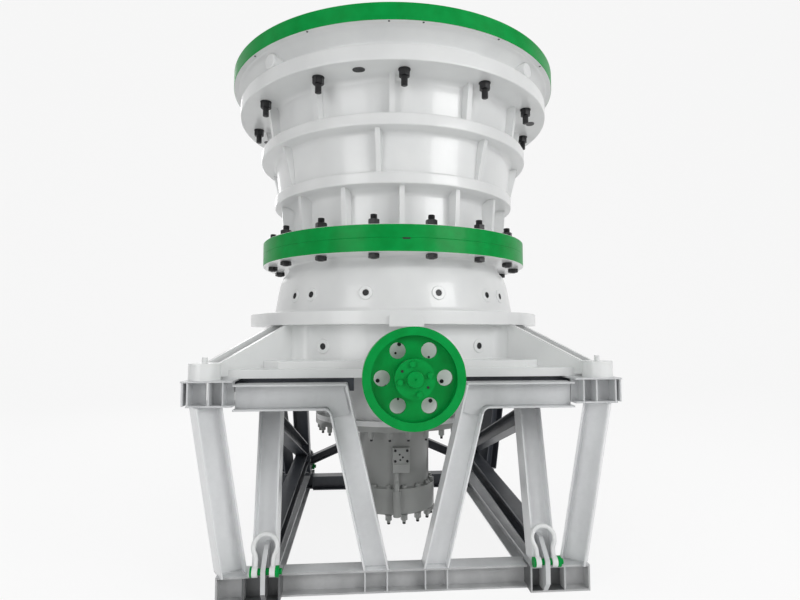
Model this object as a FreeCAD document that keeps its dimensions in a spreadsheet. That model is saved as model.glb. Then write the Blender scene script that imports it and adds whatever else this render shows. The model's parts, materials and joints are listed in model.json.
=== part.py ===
import FreeCAD, Part
import math
import os
import Sketcher

# Gyratory crusher on its welded stand. Millimetres, +Z up, the crusher's axis is Z,
# the ground is z = 0, and the drive wheel faces -Y.

# Driving dimensions

SIZES = {
    # Levels of the crusher, measured up from the ground
    "feet_level": 1685,
    "plate_thickness": 70,
    "base_ring_level": 2120,
    "base_ring_height": 117,
    "split_level": 2860,
    "flange_height": 120,
    "collar_height": 280,
    "ring_four_level": 3365,
    "ring_four_height": 105,
    "ring_three_level": 3835,
    "ring_three_height": 110,
    "ring_two_level": 4293,
    "ring_two_height": 135,
    "rim_level": 4590,
    "rim_height": 150,

    # Outer radii of the crusher's rings and of the walls between them
    "base_ring_radius": 1515,
    "flange_radius": 1400,
    "ring_four_radius": 1285,
    "ring_three_radius": 1430,
    "ring_two_radius": 1650,
    "rim_radius": 1720,
    "drum_radius": 1330,
    "bell_foot_radius": 1275,
    "bell_top_radius": 1130,
    "neck_radius": 1090,
    "lower_cone_radius": 1235,
    "middle_cone_radius": 1300,
    "upper_cone_radius": 1330,
    "rim_overhang": 190,
    "shell_wall": 70,
    "drum_wall": 90,
    "rib_thickness": 45,
    "cone_rib_turn": -9.5,
    "upper_rib_turn": -4,

    # Square base, its corner feet and their gussets
    "plate_margin": 170,
    "ledge_margin": 80,
    "ledge_corner_cut": 369,
    "ledge_height": 60,
    "foot_inset": 142,
    "foot_radius": 122,
    "foot_height": 130,
    "gusset_thickness": 40,
    "gusset_front_offset": 35,
    "gusset_side_offset": 155,
    "drum_hole_level": 1932,
    "drum_hole_radius": 25,
    "stud_nub_radius": 22,
    "stud_nub_height": 45,

    # Joint bolts
    "top_bolt_circle": 1485,
    "top_bolt_count": 12,
    "flange_bolt_circle": 1300,
    "flange_bolt_count": 16,
    "bolt_radius": 32,
    "nut_radius": 52,
    "nut_height": 60,
    "stud_tail": 85,

    # Spider, mantle and liners
    "spider_hub_radius": 430,
    "spider_bore": 190,
    "spider_arm_width": 330,
    "spider_arm_height": 300,
    "spider_cap_radius": 360,
    "spider_cap_height": 120,
    "rim_wall": 270,
    "liner_wall": 60,
    "mantle_top_radius": 330,
    "mantle_bottom_radius": 880,
    "mantle_bottom_level": 2960,
    "mantle_top_level": 4150,
    "shaft_radius": 185,
    "shaft_seat": 450,
    "trunnion_radius": 75,
    "trunnion_length": 110,
    "trunnion_level": 4509,
    "trunnion_angle": 47,
    "boss_level": 2402,
    "boss_radius": 62,
    "boss_hole_radius": 24,

    # Centre hub, lower drum and hydraulic cylinder
    "hub_radius": 760,
    "hub_top_level": 2700,
    "hub_arm_width": 210,
    "hub_flange_radius": 835,
    "hub_flange_level": 1120,
    "hub_flange_height": 100,
    "cylinder_radius": 374,
    "cylinder_cover_radius": 430,
    "cover_top_level": 488,
    "cover_bottom_level": 233,
    "pipe_radius": 26,
    "pipe_bend": 60,
    "pipe_sleeve_radius": 38,

    # Drive
    "shaft_level": 1730,
    "countershaft_radius": 70,
    "wheel_plane": -2142,
    "wheel_radius": 359,
    "wheel_width": 170,
    "wheel_rim": 60,
    "wheel_web": 40,
    "wheel_hole_circle": 221,
    "wheel_hole_radius": 57,
    "wheel_hub_radius": 140,
    "wheel_hub_height": 45,
    "shaft_end_radius": 57,
    "shaft_end_height": 32,
    "housing_radius": 300,
    "housing_nose": 1880,
    "housing_flange_radius": 330,
    "housing_flange_height": 45,
    "running_gap": 0.05,

    # Rolled sections of the stand: the heavy one above, the lighter one below
    "beam_depth": 200,
    "beam_width": 200,
    "beam_web": 10,
    "beam_flange": 14,
    "rail_depth": 175,
    "rail_width": 175,
    "brace_depth": 150,
    "brace_width": 150,
    "back_brace_depth": 110,

    # Places of the stand's members, measured from the crusher's axis
    "beam_level": 1552,
    "front_beam_place": 1610,
    "side_beam_place": 1165,
    "gap_half_width": 472,
    "gap_foot_place": 240,
    "gap_head_place": 516,
    "front_rail_place": 1453,
    "side_rail_place": 1105,
    "leg_foot_x": 1370,
    "leg_foot_y": 1531,
    "leg_head_x": 1555,
    "leg_head_y": 1640,
    "post_foot_y": 1500,
    "post_head_y": 1080,
    "brace_node_level": 500,

    # Corner blocks
    "block_inner": 976,
    "block_outer": 1460,
    "block_place": 1531,
    "block_height": 200,
    "block_width": 200,
    "pad_inner": 1340,
    "pad_width": 385,
    "pad_height": 200,
    "plate_stock": 14,

    # Lifting lugs and bow shackles
    "lug_place": 1095,
    "lug_top_level": 400,
    "lug_thickness": 36,
    "lug_hole": 29,
    "pin_radius": 25,
    "seat_gap": 0.3,
    "pin_forward": 1652,
    "pin_level": 243,
    "bow_stock": 36,
    "ear_thickness": 42,
    "ear_opening": 90,
    "bow_opening": 146,
    "bow_length": 220,
    "bow_neck": 120,
    "bow_lean": 19,
    "ear_radius": 40,
}

V = FreeCAD.Vector
doc = FreeCAD.newDocument("gyratory_crusher")
sheet = doc.addObject("Spreadsheet::Sheet", "Sizes")
for row, (name, value) in enumerate(SIZES.items(), start=1):
    sheet.set("A%d" % row, name)
    sheet.set("B%d" % row, str(value))
    sheet.setAlias("B%d" % row, name)
doc.recompute()

NODES = []


# A length knows its value now and the words that the sheet works it out by, so that one
# sum in this file gives both the first drawing of a sketch and the expression that binds it.

class Length:
    def __init__(self, value, words):
        self.value = value
        self.words = words

    def __neg__(self):
        return -1 * self

    def __add__(self, other):
        return joined(self, "+", other, self.value + plain(other))

    def __radd__(self, other):
        return joined(other, "+", self, plain(other) + self.value)

    def __sub__(self, other):
        return joined(self, "-", other, self.value - plain(other))

    def __rsub__(self, other):
        return joined(other, "-", self, plain(other) - self.value)

    def __mul__(self, other):
        return joined(self, "*", other, self.value * plain(other))

    def __rmul__(self, other):
        return joined(other, "*", self, plain(other) * self.value)

    def __truediv__(self, other):
        return joined(self, "/", other, self.value / plain(other))

    def __rtruediv__(self, other):
        return joined(other, "/", self, plain(other) / self.value)


def plain(thing):
    """The present value of a length or a number."""
    return thing.value if isinstance(thing, Length) else float(thing)


def words(thing):
    """What the sheet calls a length or a number."""
    return thing.words if isinstance(thing, Length) else str(thing)


def joined(first, sign, second, value):
    return Length(value, "(%s %s %s)" % (words(first), sign, words(second)))


def sine(degrees):
    return Length(math.sin(math.radians(plain(degrees))), "sin(%s)" % words(degrees))


def cosine(degrees):
    return Length(math.cos(math.radians(plain(degrees))), "cos(%s)" % words(degrees))


class Cells:
    """The sheet's cells by their plain names."""

    def __init__(self, table):
        for name, value in table.items():
            setattr(self, name, Length(value, "Sizes." + name))


s = Cells(SIZES)


def bind(thing, prop, length):
    thing.setExpression(prop, words(length))


# Sizes that follow from others

RIM_BORE = s.rim_radius - s.rim_wall
SPIDER_NECK = s.rim_radius - s.rim_overhang
PLATE_HALF = s.drum_radius + s.plate_margin
LEDGE_HALF = s.drum_radius + s.ledge_margin
PAD_OUTER = s.pad_inner + s.pad_width
FOOT_PLACE = s.pad_inner + s.pad_width - s.foot_inset


def node(thing, label):
    thing.Label = label
    NODES.append(thing)
    return thing


# Sketches, pads and revolutions

def fill_polygon(sketch, corners):
    """Close a polygon through corners given as pairs of expressions."""
    first = sketch.GeometryCount
    count = len(corners)
    values = [(plain(x), plain(y)) for x, y in corners]
    for here, there in zip(values, values[1:] + values[:1]):
        sketch.addGeometry(Part.LineSegment(V(here[0], here[1], 0), V(there[0], there[1], 0)), False)
    for i in range(count):
        after = first + (i + 1) % count
        sketch.addConstraint(Sketcher.Constraint("Coincident", first + i, 2, after, 1))
    for i, (x, y) in enumerate(corners, start=first):
        across = sketch.addConstraint(Sketcher.Constraint("DistanceX", i, 1, plain(x)))
        up = sketch.addConstraint(Sketcher.Constraint("DistanceY", i, 1, plain(y)))
        bind(sketch, "Constraints[%d]" % across, x)
        bind(sketch, "Constraints[%d]" % up, y)


def fill_circle(sketch, x, y, radius):
    index = sketch.addGeometry(Part.Circle(V(plain(x), plain(y), 0), V(0, 0, 1), plain(radius)), False)
    across = sketch.addConstraint(Sketcher.Constraint("DistanceX", index, 3, plain(x)))
    up = sketch.addConstraint(Sketcher.Constraint("DistanceY", index, 3, plain(y)))
    round_size = sketch.addConstraint(Sketcher.Constraint("Radius", index, plain(radius)))
    bind(sketch, "Constraints[%d]" % across, x)
    bind(sketch, "Constraints[%d]" % up, y)
    bind(sketch, "Constraints[%d]" % round_size, radius)


def new_body(name):
    return doc.addObject("PartDesign::Body", name)


def plane_of(body, role):
    return next(item for item in body.Origin.OriginFeatures if item.Role == role)


def sketch_on(body, role, name, lift=None):
    """A sketch on one of the body's own planes, lifted along the plane's normal."""
    sketch = body.newObject("Sketcher::SketchObject", name)
    sketch.AttachmentSupport = [(plane_of(body, role), "")]
    sketch.MapMode = "FlatFace"
    if lift is not None:
        bind(sketch, "AttachmentOffset.Base.z", lift)
    return sketch


def facing(body, name, angle, out):
    """An upright sketch that faces outwards, the angle counted from the front towards +X."""
    sketch = body.newObject("Sketcher::SketchObject", name)
    sketch.AttachmentSupport = [(plane_of(body, "XZ_Plane"), "")]
    sketch.MapMode = "FlatFace"
    sketch.AttachmentOffset = FreeCAD.Placement(V(), FreeCAD.Rotation(V(0, 1, 0), plain(angle)))
    bind(sketch, "AttachmentOffset.Rotation.Angle", angle)
    bind(sketch, "AttachmentOffset.Base.x", out * sine(angle))
    bind(sketch, "AttachmentOffset.Base.z", out * cosine(angle))
    return sketch


def radial(body, name, angle):
    """An upright sketch whose first axis runs outwards at the angle from the front."""
    return facing(body, name, angle - 90, 0)


def pad(body, sketch, length, middle=False, back=False):
    feature = body.newObject("PartDesign::Pad", sketch.Name + "_pad")
    feature.Profile = sketch
    bind(feature, "Length", length)
    if middle:
        feature.SideType = "Symmetric"
    feature.Reversed = back
    return feature


def pocket(body, sketch, length, middle=False, back=False):
    feature = body.newObject("PartDesign::Pocket", sketch.Name + "_pocket")
    feature.Profile = sketch
    bind(feature, "Length", length)
    if middle:
        feature.SideType = "Symmetric"
    feature.Reversed = back
    return feature


def turn(body, name, corners):
    """Revolve a profile of (radius, level) corners about Z."""
    sketch = sketch_on(body, "XZ_Plane", name)
    fill_polygon(sketch, corners)
    feature = body.newObject("PartDesign::Revolution", name + "_turn")
    feature.Profile = sketch
    feature.ReferenceAxis = (sketch, ["V_Axis"])
    feature.Angle = 360
    return feature


def around(body, features, count, name):
    """Repeat features about Z."""
    pattern = body.newObject("PartDesign::PolarPattern", name)
    pattern.Originals = features
    pattern.Axis = (plane_of(body, "Z_Axis"), [""])
    pattern.Angle = 360
    bind(pattern, "Occurrences", count)
    body.Tip = pattern
    return pattern


def place(thing, x=None, y=None, z=None):
    for letter, text in (("x", x), ("y", y), ("z", z)):
        if text is not None:
            bind(thing, "Placement.Base." + letter, text)


def mirrored(name, source, across_x=False, across_y=False):
    copy = doc.addObject("Part::Mirroring", name)
    copy.Source = source
    copy.Normal = V(1, 0, 0) if across_x else V(0, 1, 0)
    return copy


def pair(label, source):
    """The piece and its mirror image across the crusher's middle plane x = 0."""
    other = mirrored(label + "_right", source, across_x=True)
    both = doc.addObject("Part::Compound", label)
    both.Links = [source, other]
    return node(both, label)


def four(label, source):
    """The piece at all four corners of the stand."""
    right = mirrored(label + "_right", source, across_x=True)
    back = mirrored(label + "_back", source, across_y=True)
    back_right = mirrored(label + "_back_right", right, across_y=True)
    group = doc.addObject("Part::Compound", label)
    group.Links = [source, right, back, back_right]
    return node(group, label)


# Rolled members. The two end sections of a member lie in parallel planes, so a leaning
# one is cut flush with what it stands on.

DIRECTIONS = {
    "X": FreeCAD.Rotation(V(0, 1, 0), V(0, 0, 1), V(1, 0, 0)),
    "Y": FreeCAD.Rotation(V(1, 0, 0), V(0, 0, 1), V(0, -1, 0)),
    "Z": FreeCAD.Rotation(V(1, 0, 0), V(0, 1, 0), V(0, 0, 1)),
}


def section_corners(deep, wide, along):
    """An H section: its flanges stand apart in x on an upright member, else in z."""
    far = deep / 2
    near = deep / 2 - s.beam_flange
    side = wide / 2
    web = s.beam_web / 2
    right = [(far, -side), (far, side), (near, side), (near, web)]
    left = [(-x, y) for x, y in reversed(right[1:])]
    upper = right[1:] + left
    lower = [(-x, -y) for x, y in upper]
    corners = upper + lower
    return corners if along == "Z" else [(y, x) for x, y in corners]


def box_corners(deep, wide, along):
    """The plain rectangle that a section fills."""
    far = deep / 2
    side = wide / 2
    corners = [(far, side), (-far, side), (-far, -side), (far, -side)]
    return corners if along == "Z" else [(y, x) for x, y in corners]


def member(name, along, start, end, deep=s.beam_depth, wide=s.beam_width, outline=section_corners):
    """A member from start to end, each a triple of expressions for its axis."""
    ends = []
    for tag, point in (("start", start), ("end", end)):
        sketch = doc.addObject("Sketcher::SketchObject", "%s_%s" % (name, tag))
        fill_polygon(sketch, outline(deep, wide, along))
        sketch.Placement = FreeCAD.Placement(V(), DIRECTIONS[along])
        place(sketch, *point)
        ends.append(sketch)
    beam = doc.addObject("Part::Loft", name)
    beam.Sections = ends
    beam.Solid = True
    beam.Ruled = True
    return beam


def trimmed(name, source, tools):
    """The source with each tool's space taken away."""
    for i, tool in enumerate(tools):
        cut = doc.addObject("Part::Cut", "%s_%d" % (name, i))
        cut.Base = source
        cut.Tool = tool
        source = cut
    return source


# Spider: rim ring, neck, two arms and the hub that carries the shaft's top bearing

def make_spider_ring():
    body = new_body("spider_ring_body")
    turn(body, "spider_ring_wall", [
        (RIM_BORE, s.ring_two_level + s.ring_two_height),
        (SPIDER_NECK + 70, s.ring_two_level + s.ring_two_height),
        (SPIDER_NECK, s.ring_two_level + s.ring_two_height + 45),
        (SPIDER_NECK, s.rim_level - 60),
        (s.rim_radius - 40, s.rim_level),
        (s.rim_radius, s.rim_level),
        (s.rim_radius, s.rim_level + s.rim_height),
        (RIM_BORE, s.rim_level + s.rim_height),
    ])
    inner = RIM_BORE + 40
    for i, angle in enumerate((s.trunnion_angle, -s.trunnion_angle, 180 - s.trunnion_angle,
                               180 + s.trunnion_angle)):
        doc.recompute()
        sketch = facing(body, "trunnion_%d" % i, angle, inner)
        fill_circle(sketch, 0, s.trunnion_level, s.trunnion_radius)
        pad(body, sketch, SPIDER_NECK + s.trunnion_length - inner)
    doc.recompute()
    return node(body, "spider_ring")


def make_spider_bridge():
    body = new_body("spider_bridge_body")
    reach = RIM_BORE + 20
    arm = sketch_on(body, "XY_Plane", "spider_arm", s.rim_level + s.rim_height - s.spider_arm_height)
    fill_polygon(arm, [
        (-reach, -s.spider_arm_width / 2),
        (reach, -s.spider_arm_width / 2),
        (reach, s.spider_arm_width / 2),
        (-reach, s.spider_arm_width / 2),
    ])
    pad(body, arm, s.spider_arm_height - 50)
    hub = sketch_on(body, "XY_Plane", "spider_hub", s.rim_level + s.rim_height - s.spider_arm_height - 180)
    fill_circle(hub, 0, 0, s.spider_hub_radius)
    pad(body, hub, s.spider_arm_height + 140)
    doc.recompute()
    ends = sketch_on(body, "XY_Plane", "spider_arm_ends", s.rim_level + s.rim_height)
    fill_circle(ends, 0, 0, RIM_BORE - s.seat_gap)
    fill_circle(ends, 0, 0, RIM_BORE + 200)
    pocket(body, ends, s.spider_arm_height + 300)
    doc.recompute()
    bore = sketch_on(body, "XY_Plane", "spider_bore_cut", s.rim_level + s.rim_height)
    fill_circle(bore, 0, 0, s.spider_bore)
    pocket(body, bore, s.spider_arm_height + 300)
    return node(body, "spider_bridge")


def make_spider_cap():
    body = new_body("spider_cap_body")
    turn(body, "cap_outline", [
        (0, s.rim_level + s.rim_height - 40),
        (s.spider_cap_radius, s.rim_level + s.rim_height - 40),
        (s.spider_cap_radius, s.rim_level + s.rim_height - 10),
        (s.spider_cap_radius - 60, s.rim_level + s.rim_height + 10),
        (s.spider_cap_radius / 3, s.rim_level + s.rim_height + 30),
        (0, s.rim_level + s.rim_height + 30),
    ])
    return node(body, "spider_cap")


# Shells

def rib_pattern(body, name, profile, count, start):
    """Upright ribs: a profile of (radius, level) corners, the first at start from the front."""
    sketch = radial(body, name, start)
    fill_polygon(sketch, profile)
    rib = pad(body, sketch, s.rib_thickness, middle=True)
    doc.recompute()
    return around(body, [rib], count, name + "_ring")


def bolt_holes(body, name, circle, count, level, depth, radius, start):
    """Holes on a circle, the first at the start angle from the front."""
    sketch = sketch_on(body, "XY_Plane", name, level)
    fill_circle(sketch, circle * sine(start), -circle * cosine(start), radius)
    hole = pocket(body, sketch, depth)
    doc.recompute()
    return around(body, [hole], count, name + "_ring")


def make_top_shell():
    body = new_body("top_shell_body")
    turn(body, "top_shell_wall", [
        (s.neck_radius - s.shell_wall, s.split_level),
        (s.flange_radius, s.split_level),
        (s.flange_radius, s.split_level + s.flange_height),
        (s.neck_radius, s.split_level + s.flange_height),
        (s.neck_radius, s.ring_four_level - 40),
        (s.neck_radius + 60, s.ring_four_level),
        (s.ring_four_radius, s.ring_four_level),
        (s.ring_four_radius, s.ring_four_level + s.ring_four_height),
        (s.lower_cone_radius, s.ring_four_level + s.ring_four_height),
        (s.middle_cone_radius - 20, s.ring_three_level),
        (s.ring_three_radius, s.ring_three_level),
        (s.ring_three_radius, s.ring_three_level + s.ring_three_height),
        (s.middle_cone_radius, s.ring_three_level + s.ring_three_height),
        (s.upper_cone_radius, s.ring_two_level),
        (s.ring_two_radius, s.ring_two_level),
        (s.ring_two_radius, s.ring_two_level + s.ring_two_height),
        (s.upper_cone_radius - s.shell_wall, s.ring_two_level + s.ring_two_height),
        (s.middle_cone_radius - s.shell_wall, s.ring_three_level),
        (s.lower_cone_radius - s.shell_wall, s.ring_four_level + s.ring_four_height),
        (s.neck_radius - s.shell_wall, s.ring_four_level - 40),
    ])
    rib_pattern(body, "neck_rib", [
        (s.neck_radius - 20, s.split_level + s.flange_height),
        (s.neck_radius + 100, s.split_level + s.flange_height),
        (s.neck_radius + 130, s.ring_four_level),
        (s.neck_radius - 20, s.ring_four_level),
    ], 14, 0)
    rib_pattern(body, "cone_rib", [
        (s.lower_cone_radius - 20, s.ring_four_level + s.ring_four_height),
        (s.ring_four_radius - 10, s.ring_four_level + s.ring_four_height),
        (s.ring_three_radius - 60, s.ring_three_level),
        (s.middle_cone_radius - 40, s.ring_three_level),
    ], 8, s.cone_rib_turn)
    rib_pattern(body, "upper_rib", [
        (s.middle_cone_radius - 20, s.ring_three_level + s.ring_three_height),
        (s.ring_three_radius - 60, s.ring_three_level + s.ring_three_height),
        (s.upper_cone_radius + 90, s.ring_two_level),
        (s.upper_cone_radius - 20, s.ring_two_level),
    ], 12, s.upper_rib_turn)
    bolt_holes(body, "top_stud_hole", s.top_bolt_circle, s.top_bolt_count,
               s.ring_two_level + s.ring_two_height, s.ring_two_height + 5, s.bolt_radius + 1, 0)
    bolt_holes(body, "flange_hole", s.flange_bolt_circle, s.flange_bolt_count,
               s.split_level + s.flange_height + 1, s.flange_height + 5, s.bolt_radius + 1,
               180 / s.flange_bolt_count)
    return node(body, "top_shell")


COLLAR_LEVEL = s.split_level - s.collar_height
COLLAR_RADIUS = s.bell_foot_radius - 60
BASE_RING_TOP = s.base_ring_level + s.base_ring_height


def make_base_ring():
    body = new_body("base_ring_body")
    turn(body, "base_ring_outline", [
        (s.bell_foot_radius - s.shell_wall, s.base_ring_level),
        (s.base_ring_radius, s.base_ring_level),
        (s.base_ring_radius, BASE_RING_TOP),
        (s.bell_foot_radius - s.shell_wall, BASE_RING_TOP),
    ])
    return node(body, "base_ring")


def make_bottom_shell():
    body = new_body("bottom_shell_body")
    turn(body, "bottom_shell_wall", [
        (s.bell_foot_radius - s.shell_wall, BASE_RING_TOP),
        (s.bell_foot_radius, BASE_RING_TOP),
        (COLLAR_RADIUS, COLLAR_LEVEL),
        (COLLAR_RADIUS - s.shell_wall, COLLAR_LEVEL),
    ])
    for i, angle in enumerate((13.75, 36.9, 45.3)):
        for j, turned in enumerate((angle, -angle, 180 - angle, 180 + angle)):
            doc.recompute()
            boss = facing(body, "boss_%d_%d" % (i, j), turned, s.bell_foot_radius - s.shell_wall)
            fill_circle(boss, 0, s.boss_level, s.boss_radius)
            pad(body, boss, s.shell_wall - 12)
            doc.recompute()
            hole = facing(body, "boss_hole_%d_%d" % (i, j), turned, s.bell_foot_radius)
            fill_circle(hole, 0, s.boss_level, s.boss_hole_radius)
            pocket(body, hole, 60)
    return node(body, "bottom_shell")


def make_joint_collar():
    body = new_body("joint_collar_body")
    turn(body, "joint_collar_outline", [
        (COLLAR_RADIUS - s.shell_wall, COLLAR_LEVEL),
        (COLLAR_RADIUS, COLLAR_LEVEL),
        (s.bell_top_radius, s.split_level - s.flange_height - 50),
        (s.bell_top_radius, s.split_level - s.flange_height),
        (s.flange_radius, s.split_level - s.flange_height),
        (s.flange_radius, s.split_level),
        (s.bell_top_radius - s.shell_wall, s.split_level),
        (s.bell_top_radius - s.shell_wall, s.split_level - s.flange_height - 70),
    ])
    bolt_holes(body, "lower_flange_hole", s.flange_bolt_circle, s.flange_bolt_count,
               s.split_level + 1, s.flange_height + 5, s.bolt_radius + 1, 180 / s.flange_bolt_count)
    return node(body, "joint_collar")


# Base: round drum on a square plate, with a foot at each corner

def make_base_frame():
    body = new_body("base_frame_body")
    turn(body, "drum_wall_outline", [
        (s.drum_radius - s.drum_wall, s.feet_level),
        (s.drum_radius, s.feet_level),
        (s.drum_radius, s.base_ring_level),
        (s.drum_radius - s.drum_wall, s.base_ring_level),
    ])
    plate = sketch_on(body, "XY_Plane", "plate_outline", s.feet_level)
    half = PLATE_HALF
    fill_polygon(plate, [(-half, -half), (half, -half),
                         (half, half), (-half, half)])
    fill_circle(plate, 0, 0, s.drum_radius - s.drum_wall)
    pad(body, plate, s.plate_thickness)
    ledge = sketch_on(body, "XY_Plane", "ledge_outline", s.feet_level + s.plate_thickness)
    half = LEDGE_HALF
    short = LEDGE_HALF - s.ledge_corner_cut
    fill_polygon(ledge, [(-short, -half), (short, -half),
                         (half, -short), (half, short),
                         (short, half), (-short, half),
                         (-half, short), (-half, -short)])
    fill_circle(ledge, 0, 0, s.drum_radius - s.drum_wall)
    pad(body, ledge, s.ledge_height)
    foot = sketch_on(body, "XY_Plane", "foot_outline", s.feet_level)
    fill_circle(foot, FOOT_PLACE, -FOOT_PLACE, s.foot_radius)
    foot_pad = pad(body, foot, s.foot_height)
    nub = sketch_on(body, "XY_Plane", "nub_outline", s.feet_level + s.foot_height)
    fill_circle(nub, FOOT_PLACE, -FOOT_PLACE, s.stud_nub_radius)
    nub_pad = pad(body, nub, s.stud_nub_height)
    doc.recompute()
    around(body, [foot_pad, nub_pad], 4, "feet")
    return body


def add_gussets(body):
    """Two sloping plates run from under the base ring down to each foot."""
    diagonal = FOOT_PLACE * math.sqrt(2)
    for i, (angle, side) in enumerate(((-45, 1), (225, -1), (45, -1), (135, 1))):
        for name, offset in (("front", side * s.gusset_front_offset),
                             ("side", -side * s.gusset_side_offset)):
            doc.recompute()
            sketch = facing(body, "gusset_%s_%d" % (name, i), angle, offset)
            fill_polygon(sketch, [
                (s.base_ring_radius - 75, s.feet_level + s.plate_thickness),
                (s.base_ring_radius - 75, s.base_ring_level),
                (s.base_ring_radius - 20, s.base_ring_level),
                (diagonal - 90, s.feet_level + s.foot_height - 10),
                (diagonal - 90, s.feet_level + 20),
                (PLATE_HALF, s.feet_level + 20),
            ])
            pad(body, sketch, s.gusset_thickness, middle=True)
    for i, angle in enumerate((31.4, -31.4, 148.6, 211.4)):
        doc.recompute()
        hole = facing(body, "drum_hole_%d" % i, angle, s.drum_radius + 20)
        fill_circle(hole, 0, s.drum_hole_level, s.drum_hole_radius)
        pocket(body, hole, 60)


def cut_for_housing(body, reach):
    doc.recompute()
    sketch = sketch_on(body, "XZ_Plane", body.Name + "_housing_cut")
    fill_circle(sketch, 0, s.shaft_level, s.housing_radius)
    cut = pocket(body, sketch, reach, back=True)
    body.Tip = cut
    return cut


def make_base():
    body = make_base_frame()
    add_gussets(body)
    cut_for_housing(body, PLATE_HALF + 400)
    return node(body, "base_frame")


# Inside: liners, mantle and main shaft

def make_concave_liner():
    body = new_body("concave_liner_body")
    wall = [
        (s.neck_radius, s.split_level + 60),
        (s.neck_radius, s.ring_four_level - 40),
        (s.lower_cone_radius, s.ring_four_level + s.ring_four_height),
        (s.middle_cone_radius, s.ring_three_level),
        (s.upper_cone_radius, s.ring_two_level + s.ring_two_height),
    ]
    outside = [(radius - s.shell_wall - s.seat_gap, level) for radius, level in wall]
    inside = [(radius - s.shell_wall - s.seat_gap - s.liner_wall, level) for radius, level in reversed(wall)]
    turn(body, "liner_outline", outside + inside)
    return node(body, "concave_liner")


def make_mantle():
    body = new_body("mantle_body")
    turn(body, "mantle_outline", [
        (s.shaft_radius, s.mantle_bottom_level),
        (s.mantle_bottom_radius - 80, s.mantle_bottom_level),
        (s.mantle_bottom_radius, s.mantle_bottom_level + 60),
        (s.mantle_bottom_radius - 60, s.mantle_bottom_level + 240),
        (s.mantle_top_radius, s.mantle_top_level),
        (s.shaft_radius, s.mantle_top_level),
    ])
    return node(body, "mantle")


def make_main_shaft():
    body = new_body("main_shaft_body")
    turn(body, "main_shaft_outline", [
        (0, s.hub_top_level - s.shaft_seat),
        (s.shaft_radius, s.hub_top_level - s.shaft_seat),
        (s.shaft_radius, s.mantle_top_level + 60),
        (s.shaft_radius - 20, s.mantle_top_level + 60),
        (s.shaft_radius - 20, s.rim_level + s.rim_height - 60),
        (0, s.rim_level + s.rim_height - 60),
    ])
    return node(body, "main_shaft")


# Centre hub with its arms, the lower drum and the hydraulic cylinder under it

def make_centre_hub():
    body = new_body("centre_hub_body")
    turn(body, "centre_hub_outline", [
        (0, s.hub_flange_level + s.hub_flange_height / 2),
        (s.hub_flange_radius, s.hub_flange_level + s.hub_flange_height / 2),
        (s.hub_flange_radius, s.hub_flange_level + s.hub_flange_height),
        (s.hub_radius, s.hub_flange_level + s.hub_flange_height),
        (s.hub_radius, s.feet_level + 500),
        (s.hub_radius - 200, s.hub_top_level - 100),
        (s.hub_radius - 200, s.hub_top_level),
        (s.shaft_radius + 5, s.hub_top_level),
        (s.shaft_radius + 5, s.hub_top_level - s.shaft_seat),
        (0, s.hub_top_level - s.shaft_seat),
    ])
    for name, wide, deep in (("hub_arm_across", True, False), ("hub_arm_back", False, True)):
        sketch = sketch_on(body, "XY_Plane", name, s.feet_level + s.plate_thickness)
        reach = s.drum_radius - s.drum_wall - 5
        half = s.hub_arm_width / 2
        inner = s.shaft_radius + 60
        if wide:
            for side in (-1, 1):
                near = side * inner
                far = side * reach
                fill_polygon(sketch, [(near, -half), (far, -half), (far, half), (near, half)])
        else:
            fill_polygon(sketch, [(-half, inner), (-half, reach), (half, reach), (half, inner)])
        pad(body, sketch, 360)
    cut_for_housing(body, s.drum_radius)
    return node(body, "centre_hub")


def make_round(label, outline):
    body = new_body(label + "_body")
    turn(body, label + "_outline", outline)
    return node(body, label)


def make_cylinder_group():
    make_round("cylinder_head", [
        (0, s.hub_flange_level),
        (s.hub_flange_radius, s.hub_flange_level),
        (s.hub_flange_radius, s.hub_flange_level + s.hub_flange_height / 2),
        (0, s.hub_flange_level + s.hub_flange_height / 2),
    ])
    make_round("lift_cylinder", [
        (0, s.cover_top_level),
        (s.cylinder_radius, s.cover_top_level),
        (s.cylinder_radius, s.hub_flange_level),
        (0, s.hub_flange_level),
    ])
    make_round("cylinder_cover", [
        (0, s.cover_bottom_level),
        (s.cylinder_cover_radius - 12, s.cover_bottom_level),
        (s.cylinder_cover_radius, s.cover_bottom_level + 12),
        (s.cylinder_cover_radius, s.cover_top_level),
        (0, s.cover_top_level),
    ])


def make_manifold():
    block = doc.addObject("Part::Box", "manifold_box")
    bind(block, "Length", 130)
    bind(block, "Width", 110)
    bind(block, "Height", 180)
    place(block, -20, -s.cylinder_radius - 80, 720)
    seat = doc.addObject("Part::Cylinder", "manifold_seat")
    bind(seat, "Radius", s.cylinder_radius)
    bind(seat, "Height", s.hub_flange_level)
    cut = doc.addObject("Part::Cut", "manifold_cut")
    cut.Base = block
    cut.Tool = seat
    node(cut, "manifold_block")
    make_pipe()


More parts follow.
